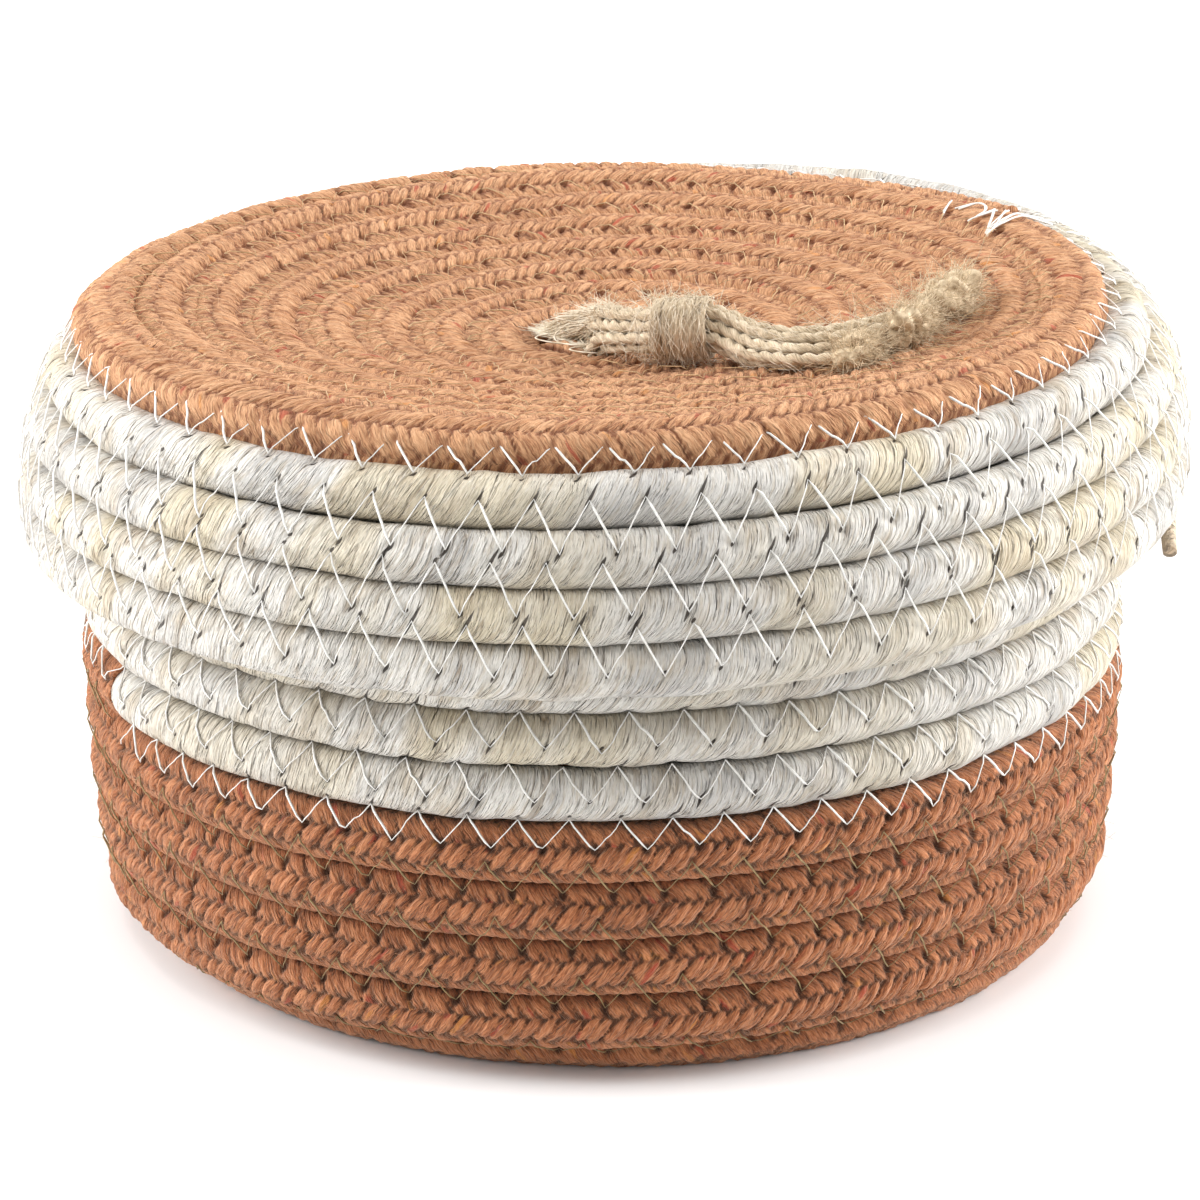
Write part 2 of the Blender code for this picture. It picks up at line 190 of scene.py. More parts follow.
@dataclass(frozen=True)
class BraidFinish:
    """Braided cotton rope: fibres that lean with each band of strands, flecks, and painted shade in the
    hollows between strands and in the needle holes.
    """

    name: str
    light: Colour
    middle: Colour
    dark: Colour
    # depth and hole: the most painted shade that goes in the hollows between strands and in the needle holes,
    # in the hollow colour.
    depth: float
    hole: float
    hollow_shade: Colour = (0.05, 0.018, 0.009)
    haze: Colour = (0.92, 0.62, 0.44)
    sheen: float = 0.65
    fleck: Colour = (0.42, 0.055, 0.03)
    warm_fleck: Colour = (0.75, 0.30, 0.06)
    lean: float = 0.65
    band: float = 5.4

    def material(self) -> Material:
        """Build the material and return it."""
        shader = Shader(self.name, 0.9, self.sheen, self.haze)
        along, around = shader.cord_place()
        place = shader.place()
        waver = shader.noise(place, 420.0, 1.0)
        band = shader.sum("FLOOR", shader.times_plus(around, 6.0, 0.5))
        height = shader.minus(shader.times(around, 6.0), band)
        side = shader.times_plus(shader.sum("PINGPONG", band, 1.0), -2.0, 1.0)
        shift = shader.times(shader.times(height, side), -self.lean * self.band)
        across = shader.plus(shader.minus(along, shift), shader.times(waver, 0.9))
        row = shader.times(band, 7.3)
        fibre = shader.noise(shader.join(across, shader.times(height, 0.9), row), 4.4, 3.0, 0.25)
        strand = shader.noise(shader.join(across, shader.times(height, 0.7), row), 1.3, 1.0)
        spot = shader.join(shader.times(across, 0.5), shader.times(height, 0.8), row)
        fleck = shader.noise(spot, 0.9, 0.0)
        patch = shader.noise(place, 42.0, 2.0)
        fibres = shader.times(shader.step(fibre, 0.28, 0.72), 0.62)
        tone = shader.times_plus(shader.mark("tint"), 0.22, fibres)
        strands = shader.step(strand, 0.3, 0.7)
        tone = shader.plus(tone, shader.times_plus(strands, 0.30, shader.times(patch, 0.2)))
        stops = ((0.18, self.dark), (0.5, self.middle), (0.82, self.light))
        colour = shader.ramp(shader.times(tone, 0.75), stops)
        colour = shader.over(colour, fleck, 0.74, 0.79, 0.75, self.fleck)
        colour = shader.over(colour, fleck, 0.25, 0.20, 0.45, self.warm_fleck)
        # Painted shade: darker where the braid's relief is low, in the hollows between strands.
        colour = shader.over(colour, shader.mark("relief"), 0.66, 0.10, self.depth, self.hollow_shade)
        # Painted shade in the needle holes.
        colour = shader.over(colour, shader.mark("hole"), 0.12, 0.7, self.hole, self.hollow_shade)
        shader.colour(colour)
        shader.bump(((strand, 0.0009), (fibre, 0.0007)), 0.9)
        return shader.material


@dataclass(frozen=True)
class HuskFinish:
    """Dry husk wrapped round a cord: leaning bundles, slow patches, painted shade in its furrows and creases,
    and slits at the stitches drawn in painted shade.
    """

    name: str
    face: Face
    pale: Colour = (0.74, 0.71, 0.655)
    grey: Colour = (0.55, 0.53, 0.50)
    cream: Colour = (0.72, 0.66, 0.55)
    yellow: Colour = (0.66, 0.58, 0.43)
    tan: Colour = (0.47, 0.37, 0.24)
    peach: Colour = (0.78, 0.60, 0.43)
    # Painted shade in the furrows and along the fold lines.
    crease_shade: Colour = (0.23, 0.155, 0.085)
    # Painted shade in the stitches' slits and needle holes.
    slit: Colour = (0.030, 0.018, 0.010)
    lean: float = 0.40
    row: float = 28.9
    stitch: float = 8.8

    def slits(self, shader: Shader, seam: str, longest: float) -> Socket:
        """Draw the slits that a seam's stitches tear open.

        Args:
            shader: The material's shader.
            seam: The seam's name in the mesh's attributes.
            longest: The longest slit's half length in millimetres.

        Returns:
            The socket of their mask.
        """
        count = shader.mark(seam + "_count")
        nearest = shader.sum("ROUND", count)
        seed = {"W": shader.plus(nearest, longest)}
        chance = shader.node("ShaderNodeTexWhiteNoise", seed, noise_dimensions="1D").outputs["Value"]
        side = shader.mark(seam + "_side")
        ahead = shader.times(shader.minus(count, nearest), self.stitch)
        apart = shader.sum("ABSOLUTE", shader.minus(ahead, shader.times(side, 0.5)))
        length = shader.times_plus(shader.times(chance, chance), longest, 0.5)
        share = shader.sum("DIVIDE", side, length)
        width = shader.times(shader.times_plus(shader.times(share, share), -1.0, 1.0), 0.33)
        return shader.step(shader.minus(width, apart), -0.02, 0.07)

    def material(self) -> Material:
        """Build the material and return it."""
        shader = Shader(self.name, 0.5, 0.1)
        along, around = shader.cord_place()
        face = float(self.face.value)
        height = shader.times_plus(around, self.row, -self.row / 2)
        down = shader.times(height, face)
        curl = shader.times(shader.times(height, height), -0.045 * face)
        across = shader.plus(shader.times_plus(height, -self.lean, along), curl)
        place = shader.place()
        wavy = shader.times_plus(shader.noise(place, 75.0, 1.0), 3.0, across)
        tall = shader.times(height, 0.11)
        bundle = shader.noise(shader.join(wavy, tall), 0.85, 1.0, 0.1)
        streak = shader.noise(shader.join(wavy, tall, 3.0), 2.3, 2.0, 0.1)
        fine = shader.noise(shader.join(wavy, tall, 9.0), 6.5, 1.0)
        fold = shader.noise(shader.join(wavy, tall, 5.0), 0.34, 0.0, 0.2)
        line = shader.sum("ABSOLUTE", shader.minus(fold, 0.5))
        slow = shader.noise(shader.join(wavy, shader.times(height, 0.3), 7.0), 0.055, 2.0)
        colours = (self.grey, self.pale, self.pale, self.cream, self.yellow)
        base = shader.ramp(slow, tuple(zip((0.36, 0.42, 0.49, 0.54, 0.62), colours)))
        warm = shader.noise(shader.join(wavy, shader.times(height, 0.5), 2.0), 0.16, 2.0)
        base = shader.over(base, warm, 0.52, 0.68, 0.5, self.tan)
        broad = shader.noise(place, 14.0, 1.0)
        base = shader.over(base, broad, 0.44, 0.62, 0.4, self.grey)
        base = shader.over(base, shader.mark("tail"), 0.0, 0.5, 0.7, self.peach)
        lip = shader.step(down, 2.6, 4.6, 1.0, 0.35)
        colour = base
        # Painted shade in the furrows between streaks and bundles, weaker on the lower lip.
        furrow_shading = ((streak, 0.54, 0.30, 0.42, self.tan), (bundle, 0.42, 0.26, 0.38, self.crease_shade))
        for value, low, high, most, shade in furrow_shading:
            share = shader.times(shader.step(value, low, high, 0.0, most), lip)
            colour = shader.mix(share, colour, shade)
        colour = shader.over(colour, fine, 0.54, 0.76, 0.45, self.pale)
        # Painted shade along the husk's fold lines, where the broad patches allow.
        crease_shade = shader.times(shader.step(line, 0.016, 0.004), shader.step(broad, 0.58, 0.46))
        colour = shader.mix(shader.times(crease_shade, 0.55), colour, self.crease_shade)
        # Painted shade in the slits that the stitches tear and in the needle holes; the same mask presses the
        # surface in.
        low, high = ("next", "last") if self.face is Face.RIGHT else ("last", "next")
        torn = shader.sum("MAXIMUM", self.slits(shader, low, 1.3), self.slits(shader, high, 3.3))
        torn = shader.sum("MAXIMUM", torn, shader.step(shader.mark("hole"), 0.45, 0.95, 0.0, 0.6))
        colour = shader.mix(shader.times(torn, 0.9), colour, self.slit)
        shader.colour(colour)
        lines = (shader.step(line, 0.0, 0.03), 0.0003)
        slits = (shader.minus(1.0, torn), 0.0004)
        shader.bump(((bundle, 0.0013), (streak, 0.0011), (fine, 0.00022), lines, slits), 0.85)
        return shader.material


@dataclass(frozen=True)
class FibreFinish:
    """Thread or jute, mottled along its length."""

    name: str
    light: Colour
    dark: Colour
    scale: float = 900.0
    roughness: float = 0.8
    sheen: float = 0.15

    def material(self) -> Material:
        """Build the material and return it."""
        shader = Shader(self.name, self.roughness, self.sheen)
        place = shader.place()
        grain = shader.noise(place, self.scale, 3.0, 0.3)
        shader.colour(shader.ramp(grain, ((0.32, self.dark), (0.68, self.light))))
        shader.bump(((grain, 0.0002),), 0.6)
        return shader.material


@dataclass(frozen=True)
class JuteFinish:
    """Twisted jute: fine fibres along each ply, with paler and darker ones among them."""

    name: str
    light: Colour = (0.86, 0.74, 0.57)
    middle: Colour = (0.62, 0.50, 0.34)
    dark: Colour = (0.24, 0.17, 0.10)

    def material(self) -> Material:
        """Build the material and return it."""
        shader = Shader(self.name, 0.8, 0.2)
        along, around = shader.cord_place()
        plan = shader.join(shader.times(along, 0.22), shader.times(around, 5.0), shader.mark("ply"))
        fibre = shader.noise(plan, 4.0, 3.0, 0.2)
        place = shader.place()
        patch = shader.noise(place, 260.0, 2.0)
        tone = shader.times_plus(patch, 0.4, shader.times(fibre, 0.6))
        colour = shader.ramp(tone, ((0.33, self.dark), (0.5, self.middle), (0.66, self.light)))
        shader.colour(colour)
        shader.bump(((fibre, 0.0003),), 0.8)
        return shader.material


@dataclass
class Route:
    """A cord's centreline: its points and their outward normals, lengths so far and turns so far."""

    points: np.ndarray
    normals: np.ndarray
    turns: np.ndarray
    along: np.ndarray = field(init=False)

    def __post_init__(self) -> None:
        """Measure the length so far."""
        steps = np.linalg.norm(np.diff(self.points, axis=0), axis=1)
        self.along = np.concatenate(([0.0], np.cumsum(steps)))

    def resampled(self, step: float) -> "Route":
        """Space the points evenly, about a step apart, and return the new route."""
        count = max(2, round(self.along[-1] / step) + 1)
        places = np.linspace(0.0, self.along[-1], count)

        def spread(values: np.ndarray) -> np.ndarray:
            """Read each column at the new places."""
            return np.column_stack([np.interp(places, self.along, column) for column in values.T])

        turns = np.interp(places, self.along, self.turns)
        return Route(spread(self.points), unit(spread(self.normals)), turns)

    def part(self, first: int, last: int, stride: int = 1) -> "Route":
        """Cut out a stretch that keeps its place along the cord, with one point of so many, and return it."""
        cut = np.unique(np.append(np.arange(first, last, stride), last))
        stretch = Route(self.points[cut], self.normals[cut], self.turns[cut])
        stretch.along = self.along[cut]
        return stretch

    def frames(self) -> tuple[np.ndarray, np.ndarray, np.ndarray]:
        """Work out the heading, the outward and the sideways direction at each point, and return them."""
        headings = unit(np.gradient(self.points, axis=0))
        outward = unit(self.normals - headings * (self.normals * headings).sum(axis=1)[:, None])
        return headings, outward, np.cross(outward, headings)


@dataclass(frozen=True)
class Cord:
    """A cord's real size: how far apart its rows lie, and its radius to the top of its surface."""

    pitch: float
    diameter: float
    radius: float
    section: tuple[float, float, float]

    def shape(self, angles: np.ndarray, squeeze: tuple[float, float] = (1.0, 0.0)) -> np.ndarray:
        """Work out the radius at some angles round the cord, which its neighbours widen and square."""
        out, side, power = self.section
        side, power = side * squeeze[0], power + squeeze[1]
        return ((abs(np.cos(angles)) / out) ** power + (abs(np.sin(angles)) / side) ** power) ** (-1 / power)


ROPE = Cord(pitch=0.0104, diameter=0.0094, radius=0.00515, section=(0.0050, 0.00535, 2.3))
HUSK = Cord(pitch=0.0092, diameter=0.0084, radius=0.00458, section=(0.00452, 0.00468, 2.15))


@dataclass(frozen=True)
class SideView:
    """The side view of a coil: stretches that each run for a length while they turn by some degrees."""

    height: float
    stretches: tuple[tuple[float, float], ...]
    step: float = 0.0001

    def at(self, run: np.ndarray) -> tuple[np.ndarray, np.ndarray, np.ndarray]:
        """Read the radius, height and heading at some distances along the side view from the middle."""
        total = sum(length for length, _ in self.stretches) + 0.02
        places = np.arange(0.0, total, self.step)
        heading = np.zeros_like(places)
        start = 0.0
        for length, turn in self.stretches:
            heading += math.radians(turn) * np.clip((places - start) / length, 0.0, 1.0)
            start += length
        middle = (heading[1:] + heading[:-1]) / 2
        radius = np.concatenate(([0.0], np.cumsum(np.cos(middle)) * self.step))
        height = np.concatenate(([0.0], np.cumsum(np.sin(middle)) * self.step)) + self.height
        return tuple(np.interp(run, places, values) for values in (radius, height, heading))


@dataclass(frozen=True)
class Zigzag:
    """A seam between two rows: its first turn, its points' reach back and forth, its period and thread."""

    first: float
    back: float
    forth: float
    period: float
    white: bool


@dataclass(frozen=True)
class Settling:
    """How a soft lid lies askew: it rises towards the back and the right, and its edge flares at the back."""

    base: float = 0.0012
    right: float = 0.0025
    back: float = 0.0009
    reach: float = 0.092
    middle: float = 0.05
    flare: tuple[float, float] = (0.0050, 0.0092)
    flare_radius: float = 0.0915
    flare_run: float = 0.0060
    flare_angle: float = math.radians(57)
    flare_width: float = math.radians(46)
    skirt_foot: float = 0.070
    skirt_top: float = 0.094
    sag: float = 0.0016

    def lift(self, points: np.ndarray) -> np.ndarray:
        """Work out how far the top rises at some points, in metres."""
        x, y = points[..., 0], points[..., 1]
        plane = self.base + (self.right * x + self.back * y) / self.reach
        plane = (plane + np.sqrt(plane * plane + 0.0005 ** 2)) / 2
        share = np.clip(np.hypot(x, y) / self.middle, 0.0, 1.0)
        return plane * ease(share)

    def moved(self, points: np.ndarray) -> np.ndarray:
        """Move points of the coil to where the soft lid holds them, and return them."""
        radius = np.hypot(points[:, 0], points[:, 1])
        edge = np.clip((radius - self.flare_radius) / self.flare_run, 0.0, 1.0)
        apart = np.arctan2(points[:, 1], points[:, 0]) - self.flare_angle
        apart = np.angle(np.exp(1j * apart)) / self.flare_width
        near = np.exp(-apart * apart)
        share = ease(edge) * near
        high = np.clip((points[:, 2] - self.skirt_foot) / (self.skirt_top - self.skirt_foot), 0.0, 1.0)
        outwards = (share * high * self.flare[0] / np.maximum(radius, 0.001))[:, None]
        moved = points * (1 + outwards * (1.0, 1.0, 0.0))
        inner = np.clip(radius / self.flare_radius, 0.0, 1.0)
        moved[:, 2] += self.lift(points) + self.flare[1] * share - self.sag * near ** 4 * inner ** 4
        return moved


@dataclass
class Coil:
    """A spiral along a side view, of rope up to its change and of husk cord after it, with zigzag seams."""

    side_view: SideView
    start_radius: float
    start_angle: float
    hand: int
    rope_turns: float
    husk_turns: float
    bar_offset: float
    bar_start: float
    face: Face
    zigzags: tuple[Zigzag, ...]
    settling: Settling | None = None
    squeeze: tuple[float, float] = (1.0, 0.0)
    droop: float = 0.0

    @property
    def end(self) -> float:
        """The turns from the middle to the cord's tail."""
        return self.rope_turns + self.husk_turns

    def run(self, turns: np.ndarray) -> np.ndarray:
        """Work out the distances along the side view, whose pitch eases over the turn after the change."""
        past = np.maximum(turns - self.rope_turns, 0.0)
        eased = np.minimum(past, 1.0)
        husk = HUSK.pitch * past + (ROPE.pitch - HUSK.pitch) * (eased - eased * eased / 2)
        return self.start_radius + ROPE.pitch * np.minimum(turns, self.rope_turns) + husk

    def place(self, turns: np.ndarray, rolls: np.ndarray | float = 0.0) -> Pair:
        """Find the centres and outward normals at some turns, rolled round the row before by some angles."""
        radius, height, heading = self.side_view.at(self.run(turns))
        inner_radius, inner_height, _ = self.side_view.at(self.run(turns - 1))
        across, up = radius - inner_radius, height - inner_height
        radius = inner_radius + across * np.cos(rolls) - up * np.sin(rolls)
        height = inner_height + up * np.cos(rolls) + across * np.sin(rolls)
        angle = self.start_angle + self.hand * math.tau * turns
        out, rise = -self.face.value * np.sin(heading), self.face.value * np.cos(heading)
        centres = np.column_stack((radius * np.cos(angle), radius * np.sin(angle), height))
        if self.settling:
            centres = self.settling.moved(centres)
        return centres, np.column_stack((out * np.cos(angle), out * np.sin(angle), rise))

    def rope_route(self, step: float) -> Route:
        """Lay the rope: a short bar beside the middle, a bend, and the spiral up to the change."""
        bend = (self.start_radius + self.bar_offset) / 2
        swing = np.linspace(math.pi, 0.0, 60)[:-1]
        bar = np.array([[-self.bar_offset, self.bar_start - ROPE.diameter, 0.0]])
        middle = (bend - self.bar_offset, self.bar_start, 0.0)
        arc = middle + bend * np.column_stack((np.cos(swing), np.sin(swing), 0 * swing))
        flat = np.vstack((bar, arc)) * (1.0, -self.hand, 1.0)
        spin = np.array(Matrix.Rotation(self.start_angle, 3, "Z"))
        start = flat @ spin.T + (0.0, 0.0, self.side_view.height)
        turns = np.linspace(0.0, self.rope_turns, 6000)
        centres, normals = self.place(turns)
        upright = np.tile((0.0, 0.0, float(self.face.value)), (len(start), 1))
        early = np.linspace(-0.5, -0.01, len(start))
        points, normals = np.vstack((start, centres)), np.vstack((upright, normals))
        return Route(points, normals, np.concatenate((early, turns))).resampled(step)

    def husk_route(self, step: float, tail_roll: float = 0.0) -> Route:
        """Lay the husk cord from the change to its tail, which rolls to the outside of the row before it."""
        turns = np.linspace(self.rope_turns, self.end, 6000)
        rolled = np.clip(1 - (self.end - turns) / 0.25, 0.0, 1.0)
        centres, normals = self.place(turns, tail_roll * ease(rolled))
        centres[:, 2] -= self.droop * np.clip(1 - (self.end - turns) / 0.07, 0.0, 1.0) ** 2
        return Route(centres, normals, turns).resampled(step)

    def seam_phase(self) -> tuple[np.ndarray, np.ndarray, np.ndarray, np.ndarray]:
        """Count the zigzag's periods, and return the turns, the counts, and how far each seam reaches."""
        turns = np.linspace(0.0, self.end - 1.0, 8000)
        middle = (self.place(turns)[0] + self.place(turns + 1)[0]) / 2
        steps = np.linalg.norm(np.diff(middle, axis=0), axis=1)
        kinds = np.searchsorted([seam.first for seam in self.zigzags], turns, side="right") - 1
        sizes = np.array([(seam.back, seam.forth, seam.period) for seam in self.zigzags])
        back, forth, period = sizes[kinds].T
        return turns, np.concatenate(([0.0], np.cumsum(steps / period[1:]))), back, forth

    def section(self, turns: np.ndarray, across: np.ndarray) -> np.ndarray:
        """Read how far a row stands out at some distance to the side of its centre."""
        rope = turns < self.rope_turns
        out, side, power = (np.where(rope, one, two) for one, two in zip(ROPE.section, HUSK.section))
        side = side * np.where(rope, self.squeeze[0], 1.0)
        power = power + np.where(rope, self.squeeze[1], 0.0)
        return out * np.maximum(1 - np.minimum(abs(across) / side, 1.0) ** power, 0.0) ** (1 / power)

    def surface(self, turns: np.ndarray, across: np.ndarray, over: float) -> np.ndarray:
        """Find points some way over the surface, at some distances from the rows' centres to the next row."""
        centres, normals = self.place(turns)
        chord = self.place(turns + 1)[0] - centres
        chord = unit(chord - normals * (chord * normals).sum(axis=1)[:, None])
        return centres + chord * across[:, None] + normals * (self.section(turns, across) + over)[:, None]

    def stitches(self, route: Route, angles: np.ndarray) -> tuple[np.ndarray, Table]:
        """Find how the seams on both sides of a row mark it.

        Args:
            route: The row's route.
            angles: The angles round it.

        Returns:
            How deep the needle pulls the surface in, from 0 to 1, and the stitches' counts and places.
        """
        turns, phase, back, forth = self.seam_phase()
        depth = np.zeros((len(route.turns), len(angles)))
        marks: Table = {}
        _, outward, sideways = route.frames()
        for label, before, reach, offset in (("next", 0, back, 0.0), ("last", 1, forth, 0.5)):
            at = route.turns - before
            inside = (at > 0) & (at < turns[-1])
            count = np.interp(at, turns, phase) - offset
            chord = self.place(at + 1)[0] - self.place(at)[0]
            apart = np.linalg.norm(chord, axis=1)
            tilt = np.arctan2((chord * outward).sum(axis=1), (chord * sideways).sum(axis=1))
            height = np.interp(at, turns, reach) + (apart / 2 if before == 0 else -apart / 2)
            radius = np.where(route.turns < self.rope_turns, ROPE.radius, HUSK.radius)
            spot = np.arcsin(np.clip(height / radius, -0.97, 0.97)) - tilt
            across = (angles[None, :] - spot[:, None]) * radius[:, None]
            ahead = (count - np.rint(count)) * 0.0085
            low = (before == 0) == (self.face is Face.RIGHT)
            size = (0.0008, 0.0013, 1.0) if low else (0.0008, 0.0010, 0.6)
            pulled = np.exp(-(ahead[:, None] / size[0]) ** 2 - (across / size[1]) ** 2) * size[2]
            depth = np.maximum(depth, pulled * inside[:, None])
            marks[label + "_count"] = np.broadcast_to(np.where(inside, count, -7.5)[:, None], depth.shape)
            marks[label + "_side"] = across * 1000
        return depth, marks


@dataclass
class Braid:
    """The relief of a round braid: six bands of plump strands that lean one way and the other in turn."""

    spacing: float = 0.0023
    lean: float = math.radians(57)
    half_length: float = 0.0035
    half_width: float = 0.00108
    depth: float = 0.00115
    seed: int = 7

    def relief(self, along: np.ndarray, angles: np.ndarray, radius: float) -> Pair:
        """Work out the strands' height and tint.

        Args:
            along: Distances along the rope.
            angles: Angles round it.
            radius: The rope's radius.

        Returns:
            The height from 0 to 1, and the tint from 0 to 1, at each distance and angle.
        """
        random = np.random.default_rng(self.seed).random((4, 4096, 6))
        band_angle = math.tau / 6
        nearest = np.rint(angles / band_angle).astype(int)
        best = np.zeros((len(along), len(angles)))
        tint = np.zeros_like(best)
        for beside in (-1, 0, 1):
            band = nearest + beside
            side = 1 - 2 * (band % 2)
            up = (angles - band * band_angle) * radius
            offset = (band % 2) * self.spacing / 2
            number = np.rint((along[:, None] - offset[None, :]) / self.spacing).astype(int)
            for ahead in (-2, -1, 0, 1, 2):
                which = (number + ahead) % 4096
                jitter = (random[:, which, band[None, :] % 6] - 0.5)
                x = along[:, None] - offset[None, :] - (number + ahead + jitter[0] * 0.25) * self.spacing
                y = up[None, :] + jitter[1] * self.spacing * 0.2
                length = x * math.cos(self.lean) + side[None, :] * y * math.sin(self.lean)
                width = x * math.sin(self.lean) - side[None, :] * y * math.cos(self.lean)
                bulge = 1 - (length / self.half_length) ** 2 - (width / self.half_width) ** 2
                height = np.sqrt(np.maximum(bulge, 0.0)) * (1 + jitter[2] * 0.3)
                higher = height > best
                best = np.where(higher, height, best)
                tint = np.where(higher, jitter[3] + 0.5, tint)
        return best, tint


def ease(share: np.ndarray | float) -> np.ndarray | float:
    """Ease a share that goes from 0 to 1 in and out, and return it."""
    return share * share * (3 - 2 * share)


def unit(vectors: np.ndarray) -> np.ndarray:
    """Scale each row to a length of 1, and return the rows."""
    return vectors / np.linalg.norm(vectors, axis=1)[:, None]


def smooth_noise(along: np.ndarray, angles: np.ndarray, length: float, folds: int, seed: int) -> np.ndarray:
    """Make a smooth random height that closes round a cord.

    Args:
        along: Distances along the cord.
        angles: Angles round it.
        length: The height's grain along the cord.
        folds: How many grains there are round it.
        seed: The seed.

    Returns:
        Heights from about -1 to 1.
    """
    random = np.random.default_rng(seed).uniform(-1, 1, (2048, folds))
    x, y = along / length, (angles / math.tau + 0.5) * folds
    left, low = np.floor(x).astype(int), np.floor(y).astype(int)
    ease_x, ease_y = ease(x - left), ease(y - low)

    def at(ahead: int, up: int) -> np.ndarray:
        """Read the random grid."""
        return random[np.ix_((left + ahead) % 2048, (low + up) % folds)]

    near = at(0, 0) * (1 - ease_y) + at(0, 1) * ease_y
    far = at(1, 0) * (1 - ease_y) + at(1, 1) * ease_y
    return near * (1 - ease_x[:, None]) + far * ease_x[:, None]


def spokes(count: int, crowding: float = 0.0) -> np.ndarray:
    """Space angles round a cord, closer together on its outside, with both ends of the turn."""
    even = np.linspace(-math.pi, math.pi, count + 1)
    return even - crowding * np.sin(even)


def rolled_tube(
    name: str, route: Route, angles: np.ndarray, radii: np.ndarray, marks: Table, material: Material
) -> Piece:
    """Roll a flat grid into a closed tube along a route.

    Args:
        name: The piece's name.
        route: The tube's centreline.
        angles: The angles round it, from the seam back to the seam.
        radii: The radius at each point and angle.
        marks: Attributes at each point and angle, by name.
        material: The tube's material.

    Returns:
        The tube's object, at the origin.
    """
    rings, columns = radii.shape
    grid = bmesh.new()
    bmesh.ops.create_grid(grid, x_segments=rings - 1, y_segments=columns - 1, size=1.0)
    mesh = bpy.data.meshes.new(name)
    grid.to_mesh(mesh)
    flat = np.empty(len(mesh.vertices) * 3, np.float32)
    mesh.vertices.foreach_get("co", flat)
    flat = flat.reshape(-1, 3)
    ring = np.rint((flat[:, 0] + 1) / 2 * (rings - 1)).astype(int)
    column = np.rint((flat[:, 1] + 1) / 2 * (columns - 1)).astype(int)
    _, outward, sideways = route.frames()
    spoke = np.cos(angles)[:, None] * outward[:, None, :] + np.sin(angles)[:, None] * sideways[:, None, :]
    spots = route.points[:, None, :] + radii[:, :, None] * spoke
    spots[:, :, 2] = np.maximum(spots[:, :, 2], 0.0002)
    mesh.vertices.foreach_set("co", spots[ring, column].astype(np.float32).ravel())
    for mark, values in marks.items():
        layer = mesh.attributes.new(mark, "FLOAT", "POINT")
        layer.data.foreach_set("value", values[ring, column].astype(np.float32))
    corners = np.empty(len(mesh.loops), np.int32)
    mesh.loops.foreach_get("vertex_index", corners)
    plan = np.column_stack((route.along[ring[corners]], angles[column[corners]] / math.tau + 0.5))
    mesh.uv_layers.new(name="cord").data.foreach_set("uv", plan.astype(np.float32).ravel())
    grid.clear()
    grid.from_mesh(mesh)
    bmesh.ops.remove_doubles(grid, verts=grid.verts, dist=0.00001)
    ends = [edge for edge in grid.edges if edge.is_boundary]
    for edge in ends:
        edge.smooth = False
    capped = bmesh.ops.holes_fill(grid, edges=ends)
    for face in grid.faces:
        face.smooth = True
    for face in capped["faces"]:
        face.smooth = False
    bmesh.ops.recalc_face_normals(grid, faces=grid.faces)
    grid.to_mesh(mesh)
    grid.free()
    return added(name, mesh, material)


def added(name: str, data: bpy.types.ID, material: Material | None = None) -> Piece:
    """Put a mesh, a curve, a lamp or a camera in the scene, with its material, and return its object."""
    if material:
        data.materials.append(material)
    thing = bpy.data.objects.new(name, data)
    bpy.context.scene.collection.objects.link(thing)
    return thing


def threads(name: str, lines: list[Pair], radius: float, material: Material) -> Piece:
    """Draw thin threads.

    Args:
        name: The piece's name.
        lines: The points of each thread, and its share of the full thickness at each.
        radius: The full radius.
        material: The threads' material.

    Returns:
        The threads' object.
    """
    curve = bpy.data.curves.new(name, "CURVE")
    curve.dimensions = "3D"
    curve.bevel_depth = radius
    curve.bevel_resolution = 0
    curve.resolution_u = 1
    curve.use_fill_caps = True
    for points, shares in lines:
        spline = curve.splines.new("POLY")
        spline.points.add(len(points) - 1)
        spline.points.foreach_set("co", np.column_stack((points, np.ones(len(points)))).ravel())
        spline.points.foreach_set("radius", shares)
        spline.use_smooth = True
    return added(name, curve, material)


def settle(piece: Piece, body: str, nodes: tuple[str, ...] = ()) -> None:
    """Give a piece its body and the CAD nodes that it stands for, and report it."""
    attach(piece, body)
    if nodes:
        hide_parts(*nodes)
    log.info("%s rides on %s", piece.name, body)


